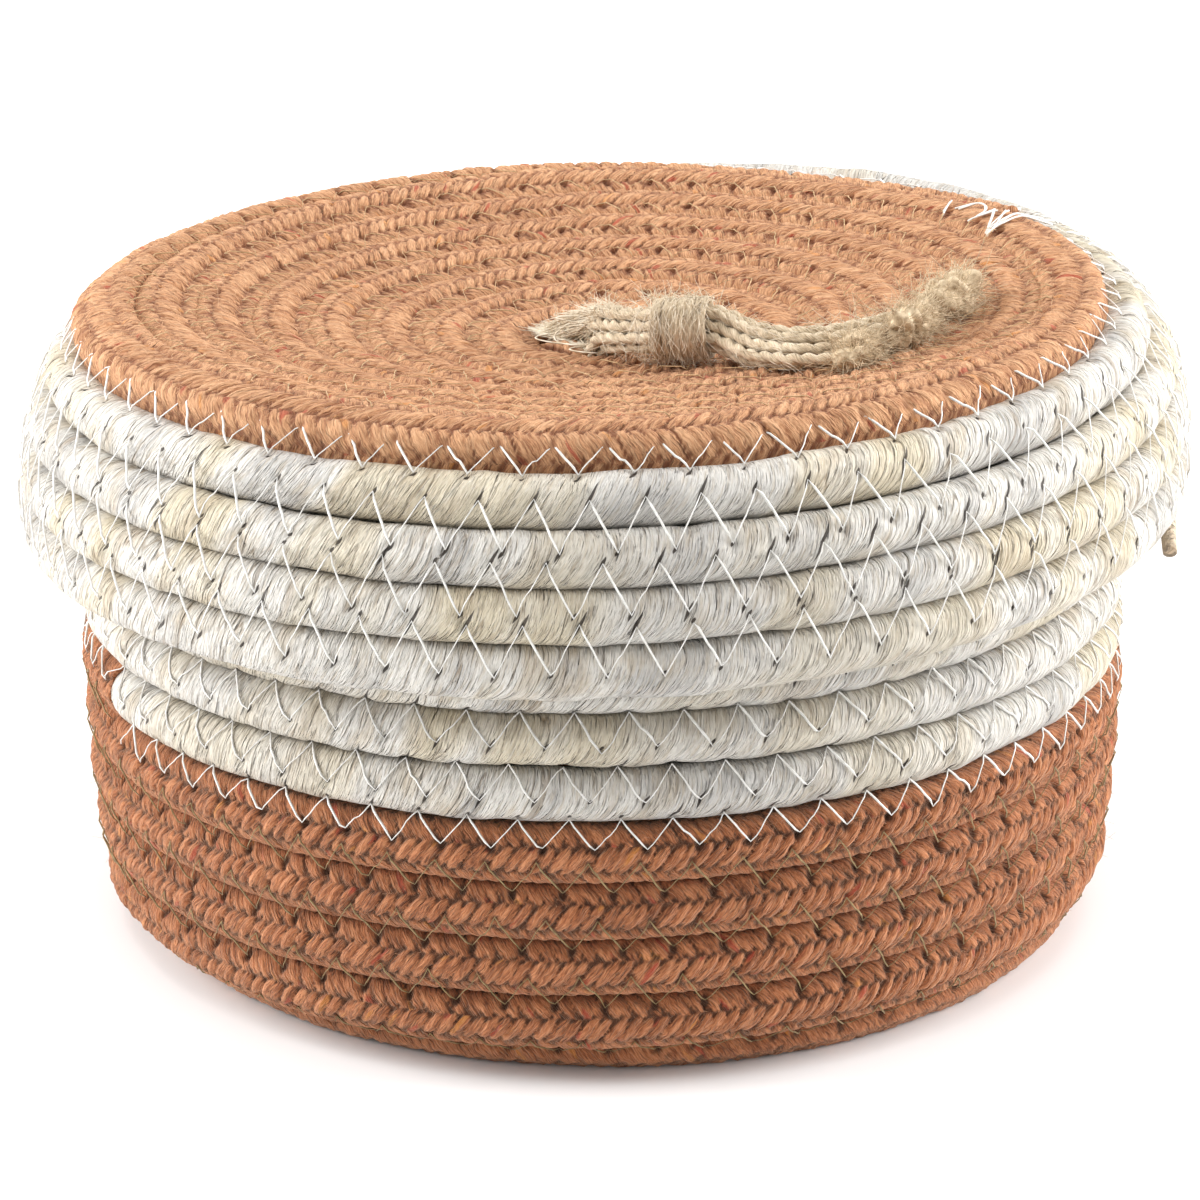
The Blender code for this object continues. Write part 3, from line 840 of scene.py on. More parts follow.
@dataclass
class Stitching:
    """The zigzag threads along a coil's seams."""

    coil: Coil
    thread_radius: float
    leg_points: int = 7
    white_radius: float = 0.00022
    over: float = 0.0002
    spare: float = 0.02
    wander: float = 0.00025
    sunk: float = 0.0006

    def line(self, first: float, last: float, inside: bool) -> Pair:
        """Lay one thread.

        Args:
            first: The turns at which it starts.
            last: The turns at which it ends.
            inside: Whether it is the thread on the hidden side of the rows.

        Returns:
            Its points, and its share of the full thickness at each.
        """
        coil = self.coil
        turns, phase, back, forth = coil.seam_phase()
        start, stop = np.interp((first, last), turns, phase)
        legs = np.arange(math.ceil(start * 2), math.floor(stop * 2))
        shares = np.linspace(0.0, 1.0, self.leg_points)[:-1]
        count = (legs[:, None] + shares[None, :]).ravel() / 2
        wander = np.random.default_rng(11).normal(0.0, self.wander, (2, len(legs) + 2))
        rising = np.repeat(legs % 2 == 0, len(shares))
        share = np.tile(shares, len(legs))
        share = np.where(rising, share, 1 - share)
        at = np.interp(count, phase, turns)
        reach_back, reach_forth = np.interp(at, turns, back), np.interp(at, turns, forth)
        lower, lower_normal = coil.place(at)
        upper, upper_normal = coil.place(at + 1)
        apart = np.linalg.norm(upper - lower, axis=1)
        heading = (upper - lower) / apart[:, None]
        normal = (lower_normal + upper_normal) / 2
        normal = unit(normal - heading * (normal * heading).sum(axis=1)[:, None]) * (-1 if inside else 1)
        leg = np.repeat(np.arange(len(legs)), len(shares))
        astray = np.where(share > 0.5, wander[0, leg], wander[1, leg])
        height = reach_back + (reach_forth - reach_back) * share + astray

        def surface(place: np.ndarray) -> np.ndarray:
            """Read how far the rows stand out there."""
            return np.maximum(coil.section(at, place + apart / 2), coil.section(at + 1, place - apart / 2))

        straight = surface(reach_back) * (1 - share) + surface(reach_forth) * share
        out = np.maximum(straight, surface(height)) + self.over
        out -= np.where(np.minimum(share, 1 - share) < 0.02, self.sunk, 0.0)
        points = (lower + upper) / 2 + heading * height[:, None] + normal * out[:, None]
        points[:, 2] = np.maximum(points[:, 2], 0.0003)
        return points, np.where(rising, 0.55, 1.0)

    def build(self, body: str, thread: Material, white: Material, slots: tuple[Slot, Slot]) -> None:
        """Sew the brown and the white seams on both sides, on a body, with their materials."""
        change = next(seam.first for seam in self.coil.zigzags if seam.white)
        brown = ("brown", 0.02, change, self.thread_radius, thread, slots[0])
        pale = ("white", change, self.coil.end - 1 - self.spare, self.white_radius, white, slots[1])
        for label, inside in (("outside", False), ("inside", True)):
            for colour, first, last, radius, material, slot in (brown, pale):
                name = f"{body}_{colour}_seam_{label}"
                settle(threads(name, [self.line(first, last, inside)], radius, material), body)


@dataclass
class Winding:
    """The rope and the husk cord of one coil, built as a few long tubes."""

    coil: Coil
    body: str
    rope_slot: Slot
    rope_node: str
    husk_node: str
    rope_step: float = 0.00045
    husk_step: float = 0.0008
    husk_spokes: int = 24
    tail_roll: float = 0.0
    tail_turns: float = 0.12
    tail_share: float = 0.3
    rope_dent: float = 0.0013
    husk_dent: float = 0.001
    rope_wave: float = 0.00018
    husk_waves: tuple[float, float] = (0.00022, 0.0002)
    braid: Braid = field(default_factory=Braid)

    def rope(self, material: Material, pieces: tuple[tuple[float, int, int], ...]) -> None:
        """Build the braided rope.

        Args:
            material: The rope's material.
            pieces: Each piece's last turn, the stride of its points, and its spokes.
        """
        route = self.coil.rope_route(self.rope_step)
        first = 0
        for number, (end, stride, count) in enumerate(pieces, 1):
            last = min(int(np.searchsorted(route.turns, end)), len(route.turns) - 1)
            stretch = route.part(first, last, stride)
            angles = spokes(count, 0.4)
            relief, tint = self.braid.relief(stretch.along, angles, ROPE.radius)
            hole, _ = self.coil.stitches(stretch, angles)
            wave = smooth_noise(stretch.along, angles, 0.009, 5, 3)
            depth = self.braid.depth * (0.35 + 0.65 * np.cos(angles) ** 2)
            radii = ROPE.shape(angles, self.coil.squeeze) - depth * (1 - relief)
            radii = radii - self.rope_dent * hole + self.rope_wave * wave
            marks = {"relief": relief, "tint": tint, "hole": hole}
            piece = rolled_tube(f"{self.rope_node}_{number}", stretch, angles, radii, marks, material)
            settle(piece, self.body, (self.rope_node,))
            first = last

    def husk(self, material: Material, pieces: int) -> None:
        """Build the husk-wrapped cord in so many pieces."""
        route = self.coil.husk_route(self.husk_step, self.tail_roll)
        edges = np.linspace(0, len(route.turns) - 1, pieces + 1).astype(int)
        for number, (first, last) in enumerate(zip(edges, edges[1:]), 1):
            stretch = route.part(first, last)
            angles = spokes(self.husk_spokes, 0.35)
            hole, marks = self.coil.stitches(stretch, angles)
            wave = smooth_noise(stretch.along, angles, 0.004, 7, 5) * self.husk_waves[0]
            wave = wave + smooth_noise(stretch.along, angles, 0.013, 3, 8) * self.husk_waves[1]
            tail = np.clip(1 - (self.coil.end - stretch.turns) / self.tail_turns, 0, 1)
            taper = 1 - tail * (1 - self.tail_share)
            radii = (HUSK.shape(angles) - self.husk_dent * hole + wave) * taper[:, None]
            marks["tail"] = np.broadcast_to(1 - taper[:, None], radii.shape)
            piece = rolled_tube(f"{self.husk_node}_{number}", stretch, angles, radii, marks, material)
            settle(piece, self.body, (self.husk_node,))


@dataclass(frozen=True)
class Fibres:
    """Loose fibres, each a short bent line with a random curl."""

    radius: float
    shortest: float
    longest: float
    curl: float
    points: int = 4
    seed: int = 5

    def lines(self, roots: np.ndarray, headings: np.ndarray, floor: Callable | None = None) -> list[Pair]:
        """Grow the fibres.

        Args:
            roots: Where they start.
            headings: Where they head for at first.
            floor: A function that gives the height that they stay over at some points.

        Returns:
            Each fibre's points, and its share of the full thickness at each.
        """
        random = np.random.default_rng(self.seed)
        count = len(roots)
        length = random.uniform(self.shortest, self.longest, (count, 1, 1))
        share = np.linspace(0.0, 1.0, self.points)[None, :, None]
        bend = random.normal(0.0, self.curl, (count, 1, 3))
        twist = random.normal(0.0, self.curl * 0.7, (count, 1, 3))
        headings = unit(headings)
        curve = headings[:, None, :] * share + bend * share ** 2 + twist * share ** 3
        spots = roots[:, None, :] + length * curve
        if floor is not None:
            spots[:, :, 2] = np.maximum(spots[:, :, 2], floor(spots))
        thin = np.linspace(1.0, 0.45, self.points)
        return [(line, thin) for line in spots]


def smoothed(points: np.ndarray, steps: int) -> np.ndarray:
    """Lay a smooth curve through points, with so many steps between two of them, and return its points."""
    padded = np.vstack((2 * points[0] - points[1], points, 2 * points[-1] - points[-2]))
    before, start, end, after = (padded[index:len(padded) - 3 + index] for index in range(4))
    share = (np.arange(steps) / steps)[None, :, None]
    before, start, end, after = (part[:, None, :] for part in (before, start, end, after))
    square = (2 * before - 5 * start + 4 * end - after) * share ** 2
    cube = (3 * start - before - 3 * end + after) * share ** 3
    curve = (2 * start + (end - before) * share + (square + cube)) / 2
    return np.vstack((curve.reshape(-1, 3), points[-1]))


def carried(points: np.ndarray) -> tuple[np.ndarray, np.ndarray, np.ndarray]:
    """Carry a frame along a curve without twisting it, and return its headings and both sides."""
    headings = unit(np.gradient(points, axis=0))
    side = np.cross(headings[0], (0.0, 0.0, 1.0))
    sides = []
    for heading in headings:
        side = side - heading * side.dot(heading)
        side = side / np.linalg.norm(side)
        sides.append(side)
    sides = np.array(sides)
    return headings, sides, np.cross(headings, sides)


@dataclass
class Tassel:
    """Jute strands folded over the lid's starting bar, with a wound neck and frayed ends."""

    lid: Coil
    material: Material
    pale: Material
    tuft: Material
    swing: float = math.radians(-45)
    loop_centre: float = -0.002
    diameter: float = 0.0016
    spacing: float = 0.0022
    clearance: float = 0.0003
    loop_clearance: float = 0.0005
    loop_angles: tuple[float, float, int] = (math.radians(116), math.radians(360), 9)
    arch: tuple[tuple[float, float], ...] = ((0.43, 1.30), (1.44, 1.63), (2.30, 1.76))
    rise: tuple[tuple[float, float], ...] = ((2.30, 1.21), (1.51, 1.00), (1.10, 0.55))
    whipping: float = 0.0014
    whipping_length: float = 0.0098
    whipping_room: float = 0.00045
    neck: tuple[tuple[float, float], ...] = ((0.0090, -0.0200), (0.0190, -0.0225))
    free: tuple[tuple[float, float], ...] = (
        (0.027, -0.0290),
        (0.036, -0.0340),
        (0.047, -0.0325),
        (0.058, -0.0270),
    )
    spread: tuple[float, ...] = (1.6, 2.6, 4.5, 7.6)
    flat: tuple[float, ...] = (0.85, 0.65, 0.6, 0.6)
    fan: float = math.radians(70)
    ply_radius: float = 0.00066
    ply_offset: float = 0.0004
    clumps: tuple[tuple[float, float], ...] = ((0.0110, 0.0020), (0.0066, 0.0028), (0.0030, 0.0028))
    twist: float = 0.0064
    loose: tuple[tuple[int, float, float, float, float], ...] = (
        (0, 0.41, 0.45, 0.0050, 0.0030),
        (3, 0.40, 0.43, 0.0044, 0.0040),
        (0, 0.60, 0.56, 0.0052, 0.0012),
        (3, 0.45, 0.41, 0.0038, -0.0010),
    )

    def __post_init__(self) -> None:
        """Work out the loop, the neck and the frame that the tassel swings in."""
        self.layer = self.spacing * math.sqrt(3) / 4
        self.loop_radius = ROPE.diameter / 2 + self.loop_clearance + self.diameter / 2 + self.layer
        self.turned = np.array(Matrix.Rotation(self.swing, 3, "Z"))
        self.origin = self.turned @ (-self.lid.bar_offset, self.loop_centre, 0.0)
        self.origin[2] += self.lid.side_view.height
        neck_radius = self.diameter / 2 + math.hypot(3 * self.layer, self.spacing * 3 / 4)
        self.whipping_radius = neck_radius + self.whipping_room + self.whipping / 2
        room = self.whipping_radius + self.whipping / 2 + self.clearance
        self.neck_start, self.neck_end = (self.on_lid(np.array(place), room) for place in self.neck)

    def on_lid(self, place: np.ndarray, room: float) -> np.ndarray:
        """Set a place some way above the lid's rope, and return it in the tassel's frame."""
        _, height, _ = self.lid.side_view.at(np.hypot(*place))
        raised = np.array((*place, float(height) + ROPE.diameter / 2 + room))
        return self.turned.T @ (raised - self.origin)

    def lid_top(self, spots: np.ndarray) -> np.ndarray:
        """Read the height of the lid's rope under some points."""
        _, height, _ = self.lid.side_view.at(np.hypot(spots[..., 0], spots[..., 1]))
        return height + ROPE.section[0] - 0.0003 + self.lid.settling.lift(spots)

    def world(self, local: np.ndarray) -> np.ndarray:
        """Bring points from the tassel's frame to the scene, where they rise with the soft lid."""
        spots = local @ self.turned.T + self.origin
        spots[:, 2] += self.lid.settling.lift(spots)
        return spots

    def half(self, slot: tuple[float, float], side: int, shares: tuple) -> tuple[list, list, float]:
        """Lay one half of a strand, from its free end to the loop.

        Args:
            slot: The strand's place across the loop.
            side: 1 on the arch and -1 below it.
            shares: The steps between the neck and the loop, as shares of the loop's radius.

        Returns:
            The free part's points, the steps' points, and how far they lie to the side.
        """
        along, out = slot
        run = self.neck_end - self.neck_start
        across = np.array((-run[1], run[0], 0.0)) / math.hypot(run[0], run[1])
        shift = along + side * self.spacing / 4
        lift = side * (2 * self.layer + out)
        aside = np.array((math.cos(self.fan), math.sin(self.fan)))
        places = []
        for place, spread, flat in zip(self.free, self.spread, self.flat):
            room = self.clearance + self.diameter / 2 + (lift + 3 * self.layer) * flat
            places.append(self.on_lid(np.array(place) + aside * shift * spread, room))
        places.reverse()
        for end in (self.neck_end, self.neck_start):
            places.append(end + across * shift + np.array((0.0, 0.0, lift)))
        steps = []
        for ahead_share, up_share in shares:
            ahead = ahead_share * self.loop_radius
            share = min(1.0, ahead / (self.loop_radius * self.arch[-1][0]))
            steps.append(np.array((ahead, self.neck_start[1] * ease(share), up_share * self.loop_radius)))
        return places, steps, shift

    def strand(self, slot: tuple[float, float]) -> np.ndarray:
        """Lay a folded strand from one free end round the bar to the other, and return its points."""
        along, out = slot
        arch_free, arch, arch_shift = self.half(slot, 1, self.arch[::-1])
        rise_free, rise, rise_shift = self.half(slot, -1, self.rise)
        angles = np.linspace(*self.loop_angles)
        loop = [np.array((math.cos(angle), 0.0, math.sin(angle))) * self.loop_radius for angle in angles]
        middles = [self.neck_start, *arch, *loop, *rise[::-1], self.neck_start]
        shifts = [arch_shift, arch_shift, arch_shift, (along + arch_shift) / 2, *[along] * len(loop)]
        shifts += [(along + rise_shift) / 2, rise_shift, rise_shift, rise_shift]
        bent = []
        for index in range(1, len(middles) - 1):
            heading = middles[index + 1] - middles[index - 1]
            outward = np.cross((0.0, 1.0, 0.0), heading)
            outward /= np.linalg.norm(outward)
            bent.append(middles[index] + np.array((0.0, shifts[index], 0.0)) + outward * out)
        return self.world(smoothed(np.array(arch_free + bent + rise_free[::-1]), 8))

    def clump(self, shift: float) -> tuple[float, float]:
        """Read how much a strand's end is trimmed and how large its tuft is, from its place across."""
        return self.clumps[int(np.searchsorted((-0.0014, 0.0014), shift))]

    def strands(self) -> list[Route]:
        """Build the twisted strands, and return their routes."""
        inner = [(share * self.spacing, -self.layer) for share in (-1, 0, 1)]
        outer = [(share * self.spacing, self.layer) for share in (-1 / 2, 1 / 2)]
        routes = []
        random = np.random.default_rng(31)
        for number, slot in enumerate(inner + outer, 1):
            points = self.strand(slot)
            whole = Route(points, np.ones_like(points), np.zeros(len(points))).resampled(0.00036)
            shifts = [slot[0] + side * self.spacing / 4 for side in (1, -1)]
            trims = [self.clump(shift)[0] + random.uniform(-0.0012, 0.0012) for shift in shifts]
            first, last = np.searchsorted(whole.along, (trims[0], whole.along[-1] - trims[1]))
            route = Route(whole.points[first:last], whole.normals[first:last], whole.turns[first:last])
            routes.append(route)
            _, side, other = carried(route.points)
            for ply in range(2):
                angle = (math.tau * route.along / self.twist + ply * math.pi + number)[:, None]
                spoke = np.cos(angle) * side + np.sin(angle) * other
                turned = Route(route.points + spoke * self.ply_offset, spoke, route.turns)
                angles = spokes(9)
                ends = np.minimum(route.along, route.along[-1] - route.along)
                uneven = smooth_noise(turned.along, angles, 0.0016, 4, number * 2 + ply)
                radii = self.ply_radius * (1 + 0.16 * uneven)
                radii *= np.clip(0.35 + ends / 0.004, 0.0, 1.0)[:, None]
                mark = {"ply": np.full(radii.shape, number * 1.7 + ply * 0.6)}
                name = f"tassel_cord_{number}_{ply + 1}"
                piece = rolled_tube(name, turned, angles, radii, mark, self.material)
                settle(piece, "tassel", (f"tassel_strand_{number}",))
        return routes

    def binding(self) -> None:
        """Wind the neck with a fine uneven yarn, in two layers."""
        run = self.neck_end - self.neck_start
        heading = run / np.linalg.norm(run)
        across = np.array((-run[1], run[0], 0.0)) / math.hypot(run[0], run[1])
        up = np.cross(heading, across)
        layers = ((15, 0.0, 1.0, 0.0), (10, 0.0003, 0.85, 2.0))
        for number, (turns, over, reach, start) in enumerate(layers, 1):
            share = np.linspace(0.0, 1.0, turns * 44)
            angle = (share * turns * math.tau + start)[:, None]
            wobble = smooth_noise(share * turns, np.zeros(1), 0.7, 1, 20 + number)[:, 0]
            ahead = ((share - 0.5) * self.whipping_length * reach + wobble * 0.00045)[:, None]
            waist = 1 - 0.07 * np.sin(share * math.pi)
            radius = (self.whipping_radius * waist - 0.0002 + over + 0.0003 * np.roll(wobble, 70))[:, None]
            spoke = across * np.cos(angle) + up * np.sin(angle)
            local = (self.neck_start + self.neck_end) / 2 + heading * ahead + spoke * radius
            points = self.world(local)
            route = Route(points, spoke @ self.turned.T, np.zeros(len(points)))
            angles = spokes(8)
            radii = 0.00052 * (1 + 0.2 * smooth_noise(route.along, angles, 0.0016, 4, 40 + number))
            mark = {"ply": np.full(radii.shape, 11.0 + number)}
            piece = rolled_tube(f"tassel_binding_{number}", route, angles, radii, mark, self.material)
            settle(piece, "tassel", ("tassel_whipping",))

    def hairs(self, routes: list[Route]) -> None:
        """Grow loose hairs along the strands' routes and out of the neck."""
        random = np.random.default_rng(3)
        roots, headings = [], []

        def rim(route: Route, picks: np.ndarray, reach: float) -> tuple[np.ndarray, np.ndarray]:
            """Pick a random place round the strand at each point, and return it and its direction."""
            _, side, other = carried(route.points)
            angle = random.uniform(0, math.tau, (len(picks), 1))
            spoke = side[picks] * np.cos(angle) + other[picks] * np.sin(angle)
            return route.points[picks] + spoke * reach, spoke

        for route in routes:
            size = len(route.points)
            arch = random.integers(size * 34 // 100, size * 62 // 100, 330)
            picks = np.concatenate((random.integers(30, size - 30, 380), arch))
            spots, spoke = rim(route, picks, 0.00095)
            roots.append(spots)
            way = carried(route.points)[0][picks] * random.choice((-1.0, 1.0), (len(picks), 1))
            headings.append(way + spoke * random.uniform(0.0, 0.6, (len(picks), 1)) ** 2 * 2)
        count = 700
        middle = self.world(((self.neck_start + self.neck_end) / 2)[None, :])[0]
        run = self.turned @ (self.neck_end - self.neck_start)
        run /= np.linalg.norm(run)
        side = np.cross(run, (0.0, 0.0, 1.0))
        up = np.cross(side, run)
        angle = random.uniform(0, math.tau, (count, 1))
        spoke = side * np.cos(angle) + up * np.sin(angle)
        ahead = run * random.uniform(-0.0075, 0.0055, (count, 1))
        roots.append(middle + ahead + spoke * (self.whipping_radius + 0.0004))
        way = np.cross(run, spoke) + spoke * random.uniform(-0.1, 0.2, (count, 1))
        headings.append(way + run * random.normal(0.0, 0.4, (count, 1)))
        arches, ways = [], []
        for route in routes:
            size = len(route.points)
            picks = random.integers(size * 37 // 100, size * 63 // 100, 420)
            spots, spoke = rim(route, picks, 0.00125)
            arches.append(spots)
            way = carried(route.points)[0][picks] * np.where(picks < size // 2, 1.0, -1.0)[:, None]
            ways.append(way + spoke * random.uniform(-0.05, 0.2, (len(picks), 1)))
        self.grow("tassel_arch_hairs", Fibres(0.00009, 0.0040, 0.0085, 0.07, 6, 8), arches, ways, self.pale)
        self.grow("tassel_hairs", Fibres(0.00006, 0.0018, 0.0052, 0.2), roots, headings, self.pale)

    def grow(self, name: str, fibres: Fibres, roots: list, headings: list, material: Material) -> None:
        """Grow fibres that stay over the lid, as one piece, from their roots and headings."""
        lines = fibres.lines(np.vstack(roots), np.vstack(headings), self.lid_top)
        settle(threads(name, lines, fibres.radius, material), "tassel")

    def tufts(self, routes: list[Route]) -> None:
        """Fray the strands' ends."""
        random = np.random.default_rng(9)
        roots, headings = [], []
        for number, route in enumerate(routes):
            for end, step in ((0, 8), (-1, -8)):
                heading = route.points[end] - route.points[end + step]
                heading /= np.linalg.norm(heading)
                middle = route.points[end] + heading * 0.0014
                middle[2] = max(middle[2], self.lid_top(middle) + 0.0014)
                puff = bmesh.new()
                bmesh.ops.create_icosphere(puff, subdivisions=4, radius=1.0)
                spread = np.array([tuple(vert.co) for vert in puff.verts])
                shift = ((-1, 0, 1, -0.5, 0.5)[number] + (0.25 if step > 0 else -0.25)) * self.spacing
                size = self.clump(shift)[1]
                waves = 0.0
                for pace in (2.5, 4.0, 7.0, 11.0):
                    wave = spread @ random.normal(0.0, pace, 3) + random.uniform(0, math.tau)
                    waves = waves + np.sin(wave) / pace
                sized = spread * (size * (1 + 0.6 * waves))[:, None]
                sized = sized + heading * (spread @ heading)[:, None] * 0.0012 + middle
                sized[:, 2] = np.maximum(sized[:, 2], self.lid_top(sized))
                for vert, place in zip(puff.verts, sized):
                    vert.co = place
                mesh = bpy.data.meshes.new("puff")
                puff.to_mesh(mesh)
                puff.free()
                mesh.shade_smooth()
                name = f"tassel_puff_{number + 1}_{1 if step > 0 else 2}"
                settle(added(name, mesh, self.tuft), "tassel")
                picks = random.integers(0, len(sized), 300)
                roots.append(sized[picks])
                outward = sized[picks] - middle
                outward /= np.linalg.norm(outward, axis=1)[:, None] + 1e-9
                headings.append(outward + heading * 0.5 + random.normal(0.0, 0.55, (300, 3)))
        self.grow("tassel_tufts", Fibres(0.00006, 0.0010, 0.0036, 0.6, 4, 12), roots, headings, self.tuft)

    def loops(self, routes: list[Route]) -> None:
        """Lay a few loose pale threads in front of the arch, which hang out of it and go back in."""
        lines = []
        front = np.array((-0.35, -1.0, 0.0)) / math.hypot(0.35, 1.0)
        share = np.linspace(0.0, 1.0, 18)[:, None]
        for number, first, last, bulge, drop in self.loose:
            points = routes[number].points
            start, stop = points[int(len(points) * first)], points[int(len(points) * last)]
            swing = np.sin(share * math.pi)
            spots = start * (1 - share) + stop * share + front * bulge * swing
            aside = np.array((0.0034, -0.0008, 0.0)) * np.sin(share * math.tau)
            spots += aside - np.array((0.0, 0.0, drop)) * swing
            spots[:, 2] = np.maximum(spots[:, 2], self.lid_top(spots) + 0.0002)
            lines.append((spots, np.ones(len(spots))))
        piece = threads("tassel_loose_threads", lines, 0.00016, self.pale)
        settle(piece, "tassel")

    def build(self) -> None:
        """Build the whole tassel."""
        routes = self.strands()
        self.binding()
        self.hairs(routes)
        self.tufts(routes)
        self.loops(routes)


@dataclass
class Fuzz:
    """Fine loose fibres that stand off a rope's outside."""

    coil: Coil
    fibres: Fibres
    half_width: float = 0.0048
    over: float = -0.0005
    lift: float = 0.45

    def build(self, name: str, body: str, slot: Slot, material: Material, first: float, count: int) -> None:
        """Grow the fuzz.

        Args:
            name: The piece's name.
            body: The CAD body that it rides on.
            slot: Not used.
            material: The fibres' material.
            first: The turns at which it starts.
            count: How many fibres there are.
        """
        random = np.random.default_rng(17)
        turns = np.sqrt(random.uniform(first ** 2, self.coil.rope_turns ** 2, count))
        across = random.uniform(-self.half_width, self.half_width, count)
        roots = self.coil.surface(turns, across, self.over)
        ahead = unit(self.coil.surface(turns + 0.001, across, self.over) - roots)
        _, normals = self.coil.place(turns)
        headings = ahead * random.choice((-1.0, 1.0), (count, 1)) + random.normal(0.0, 0.6, (count, 3))
        headings += normals * self.lift
        piece = threads(name, self.fibres.lines(roots, headings), self.fibres.radius, material)
        settle(piece, body)


@dataclass
class Tack:
    """The bar tack that fastens the rope's end to the cord."""

    coil: Coil
    radius: float = 0.0002
    wander: float = 0.0004
    reach: float = 0.0915
    shift: tuple[float, float, float] = (0.0075, -0.0078, 0.0)
    passes: tuple[tuple[tuple[float, float, float], ...], ...] = (
        ((-0.0151, -0.0013, 0.0), (-0.0112, -0.0058, 0.0)),
        ((-0.0099, -0.0039, 0.0), (-0.0083, 0.0005, 0.0), (-0.0034, -0.0019, 0.0), (-0.0019, -0.0047, 0.0)),
        ((-0.0018, -0.0002, 0.0), (-0.0019, -0.0047, 0.0)),
        ((-0.0018, -0.0002, 0.0), (0.0072, -0.0072, 0.0)),
        ((0.0005, 0.0015, 0.0), (0.0072, -0.0072, 0.0)),
        ((0.0025, 0.0027, 0.0), (0.0072, -0.0072, 0.0)),
        ((0.0050, 0.0033, 0.0), (0.0072, -0.0072, 0.0)),
    )

    def build(self, body: str, material: Material) -> None:
        """Sew the tack on its body with the thread's material."""
        random = np.random.default_rng(23)
        lines = []
        for places in self.passes * 2:
            astray = random.normal(0.0, self.wander, (len(places), 3))
            ahead, across, _ = (smoothed(np.array(places) + astray, 9) + self.shift).T
            rows = np.rint(across / ROPE.pitch)
            turns = self.coil.rope_turns + ahead / (math.tau * self.reach) + rows
            across = across - rows * ROPE.pitch
            over = 0.0002 + np.maximum(0.0, 0.0030 - self.coil.section(turns, across))
            lines.append((self.coil.surface(turns, across, over), np.ones(len(turns))))
        settle(threads(f"{body}_bar_tack", lines, self.radius, material), body)


@dataclass
class Studio:
    """The pale floor, the soft light and the camera."""

    eye: tuple[float, float, float] = (-0.00059, -0.7667, 0.3209)
    pitch: float = 70.895
    lens: float = 131.6
    floor_radius: float = 6.0
    near_floor: float = 0.4
    overhead: float = 8.2
    side: float = 14.6
    ambient: float = 0.52
    aim: tuple[float, float, float] = (0.0, 0.0, 0.05)

    def floor(self) -> None:
        """Lay the floor."""
        disc = bmesh.new()
        bmesh.ops.create_circle(disc, cap_ends=True, segments=64, radius=self.floor_radius)
        mesh = bpy.data.meshes.new("floor")
        disc.to_mesh(mesh)
        disc.free()
        shader = Shader("studio_floor", 0.9)
        place = shader.place()
        grain = shader.noise(place, 3.0, 1.0)
        pale = shader.ramp(grain, ((0.0, (0.93, 0.93, 0.93)), (1.0, (0.96, 0.96, 0.96))))
        seen = shader.node("ShaderNodeLightPath", {}).outputs["Is Camera Ray"]
        shader.colour(shader.mix(seen, (0.90, 0.90, 0.90), pale))
        away = shader.node("ShaderNodeVectorMath", {0: place}, operation="LENGTH").outputs["Value"]
        shader.surface.inputs["Emission Color"].default_value = (1, 1, 1, 1)
        white = shader.times(seen, shader.step(away, self.near_floor, 2 * self.near_floor))
        shader.tree.links.new(white, shader.surface.inputs["Emission Strength"])
        added("floor", mesh, shader.material)

    def lamp(self, name: str, place: tuple[float, float, float], size: float, power: float) -> None:
        """Hang a square soft lamp that faces the basket, with its side in metres and its power in watts."""
        data = bpy.data.lights.new(name, "AREA")
        data.size = size
        data.energy = power
        lamp = added(name, data)
        lamp.location = place
        lamp.rotation_euler = (Vector(self.aim) - Vector(place)).to_track_quat("-Z", "Y").to_euler()

    def world(self) -> None:
        """Light the room evenly, with a white background."""
        world = bpy.data.worlds.new("room")
        world.use_nodes = True
        nodes, links = world.node_tree.nodes, world.node_tree.links
        room = nodes["Background"]
        room.inputs["Strength"].default_value = self.ambient
        room.inputs["Color"].default_value = (1, 1, 1, 1)
        white = nodes.new("ShaderNodeBackground")
        path = nodes.new("ShaderNodeLightPath")
        mix = nodes.new("ShaderNodeMixShader")
        links.new(path.outputs["Is Camera Ray"], mix.inputs[0])
        links.new(room.outputs[0], mix.inputs[1])
        links.new(white.outputs[0], mix.inputs[2])
        white.inputs["Color"].default_value = (1, 1, 1, 1)
        links.new(mix.outputs[0], nodes["World Output"].inputs["Surface"])
        bpy.context.scene.world = world

    def camera(self) -> None:
        """Place the camera of the photograph."""
        data = bpy.data.cameras.new("camera")
        data.lens = self.lens
        data.sensor_width = 36.0
        camera = added("camera", data)
        camera.location = self.eye
        camera.rotation_euler = (math.radians(self.pitch), 0.0, 0.0)
        bpy.context.scene.camera = camera

    def build(self) -> None:
        """Set up the whole studio."""
        bpy.context.scene.view_settings.view_transform = "Standard"
        self.floor()
        self.world()
        self.lamp("overhead", (0.0, -0.1, 1.1), 1.1, self.overhead)
        self.lamp("right", (0.95, 0.1, 0.4), 0.7, self.side)
        self.lamp("left", (-0.95, 0.1, 0.4), 0.7, self.side)
        self.camera()


def lid_height() -> float:
    """Read the height of the dish's middle, which the tassel's hinge shares."""
    return next(joint["pos_m"][2] for joint in frame["joints"] if joint["name"] == "tassel_swing")


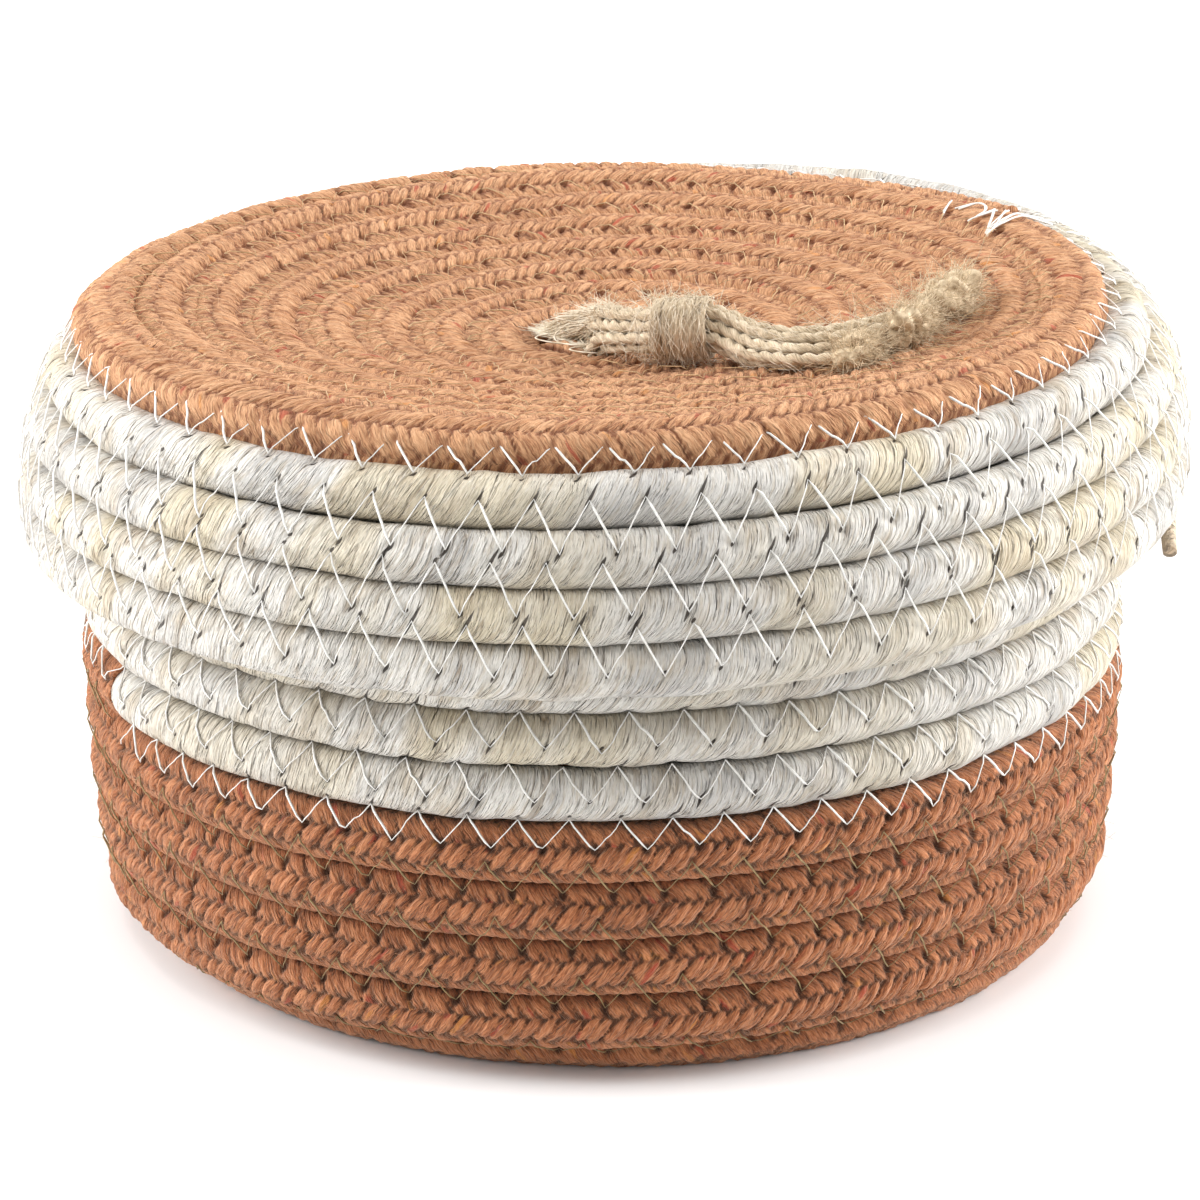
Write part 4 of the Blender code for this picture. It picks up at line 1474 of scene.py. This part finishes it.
def main() -> None:
    """Dress the frame and set up the studio."""
    logging.basicConfig(level=logging.INFO, format="%(message)s")
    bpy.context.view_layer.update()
    Studio().build()
    rope = BraidFinish(
        "braided_rope",
        light=(0.66, 0.275, 0.125),
        middle=(0.42, 0.142, 0.055),
        dark=(0.135, 0.037, 0.014),
        depth=0.84,
        hole=0.95,
    ).material()
    lid_rope = BraidFinish(
        "lid_braided_rope",
        light=(0.78, 0.45, 0.252),
        middle=(0.58, 0.295, 0.148),
        dark=(0.30, 0.118, 0.054),
        depth=0.8,
        hole=0.8,
        hollow_shade=(0.20, 0.064, 0.030),
        sheen=0.35,
    ).material()
    brown_thread = FibreFinish("brown_thread", (0.36, 0.26, 0.12), (0.20, 0.14, 0.06)).material()
    tan_thread = FibreFinish("tan_thread", (0.66, 0.44, 0.24), (0.36, 0.24, 0.11)).material()
    white_thread = FibreFinish(
        "white_thread", (0.90, 0.885, 0.86), (0.72, 0.70, 0.65), roughness=0.5
    ).material()
    rope_turns, lid_turns = 11 + 156 / 360, 7.785
    corner, corner_radius = 84, 0.0098
    basket = Coil(
        SideView(
            ROPE.diameter * 0.4,
            ((0.079, 0), (corner_radius * math.radians(corner), corner), (0.0417, 6), (0.051, 11.5)),
        ),
        start_radius=0.0131,
        start_angle=math.radians(48),
        hand=1,
        rope_turns=rope_turns,
        husk_turns=5 + 201 / 360,
        bar_offset=0.0015,
        bar_start=0.0004,
        face=Face.RIGHT,
        zigzags=(
            Zigzag(0.0, -0.0012, 0.0048, 0.0082, False),
            Zigzag(rope_turns - 1, -0.0031, 0.0019, 0.0083, True),
            Zigzag(rope_turns, -0.0051, 0.0006, 0.0088, True),
        ),
    )
    lid = Coil(
        SideView(lid_height(), ((0.085, 13.5), (0.0091, -65), (0.028, -38.5))),
        start_radius=0.0136,
        start_angle=math.radians(-45),
        hand=-1,
        rope_turns=lid_turns,
        husk_turns=11.885 - lid_turns,
        bar_offset=0.0026,
        bar_start=0.0004,
        face=Face.LEFT,
        zigzags=(
            Zigzag(0.0, -0.0024, 0.0024, 0.0082, False),
            Zigzag(lid_turns - 1, -0.0028, 0.0026, 0.0086, True),
            Zigzag(lid_turns, -0.0043, 0.0042, 0.0088, True),
        ),
        settling=Settling(),
        squeeze=(1.16, 0.8),
        droop=0.010,
    )
    wound = Winding(basket, "basket", Slot.ROPE, "basket_rope", "basket_husk_cord")
    wound.rope(rope, ((7.0, 3, 26), (8.6, 1, 34), (10.0, 1, 34), (rope_turns, 1, 34)))
    wound.husk(HuskFinish("husk_wrap", Face.RIGHT).material(), 2)
    seams = Stitching(basket, 0.00016, leg_points=6)
    seams.build("basket", brown_thread, white_thread, (Slot.ROPE, Slot.HUSK))
    cover = Winding(lid, "lid", Slot.LID_ROPE, "lid_rope", "lid_husk_cord", tail_roll=math.radians(14))
    cover.rope(lid_rope, ((4.0, 1, 34), (6.1, 1, 34), (lid_turns, 1, 34)))
    cover.husk(HuskFinish("lid_husk_wrap", Face.LEFT).material(), 2)
    lid_seams = Stitching(lid, 0.00011, over=0.0004, spare=0.11)
    lid_seams.build("lid", tan_thread, white_thread, (Slot.LID_ROPE, Slot.HUSK))
    Tack(lid).build("lid", white_thread)
    fluff = FibreFinish("lid_fluff", (0.86, 0.58, 0.36), (0.62, 0.33, 0.16)).material()
    fuzz = Fuzz(lid, Fibres(0.00003, 0.0010, 0.0030, 0.3, 3))
    fuzz.build("lid_fuzz", "lid", Slot.LID_ROPE, fluff, 0.3, 3000)
    dark_fluff = FibreFinish("basket_fluff", (0.66, 0.36, 0.20), (0.36, 0.15, 0.07)).material()
    fuzz = Fuzz(basket, Fibres(0.00003, 0.0010, 0.0026, 0.3, 3))
    fuzz.build("basket_fuzz", "basket", Slot.ROPE, dark_fluff, 7.5, 2000)
    jute = JuteFinish("jute").material()
    straw = FibreFinish("jute_hair", (0.88, 0.80, 0.66), (0.60, 0.49, 0.34), 700.0).material()
    frayed = FibreFinish("frayed_jute", (0.84, 0.70, 0.49), (0.32, 0.22, 0.12), 620.0).material()
    Tassel(lid, jute, straw, frayed).build()


if __name__ == "__main__":
    main()
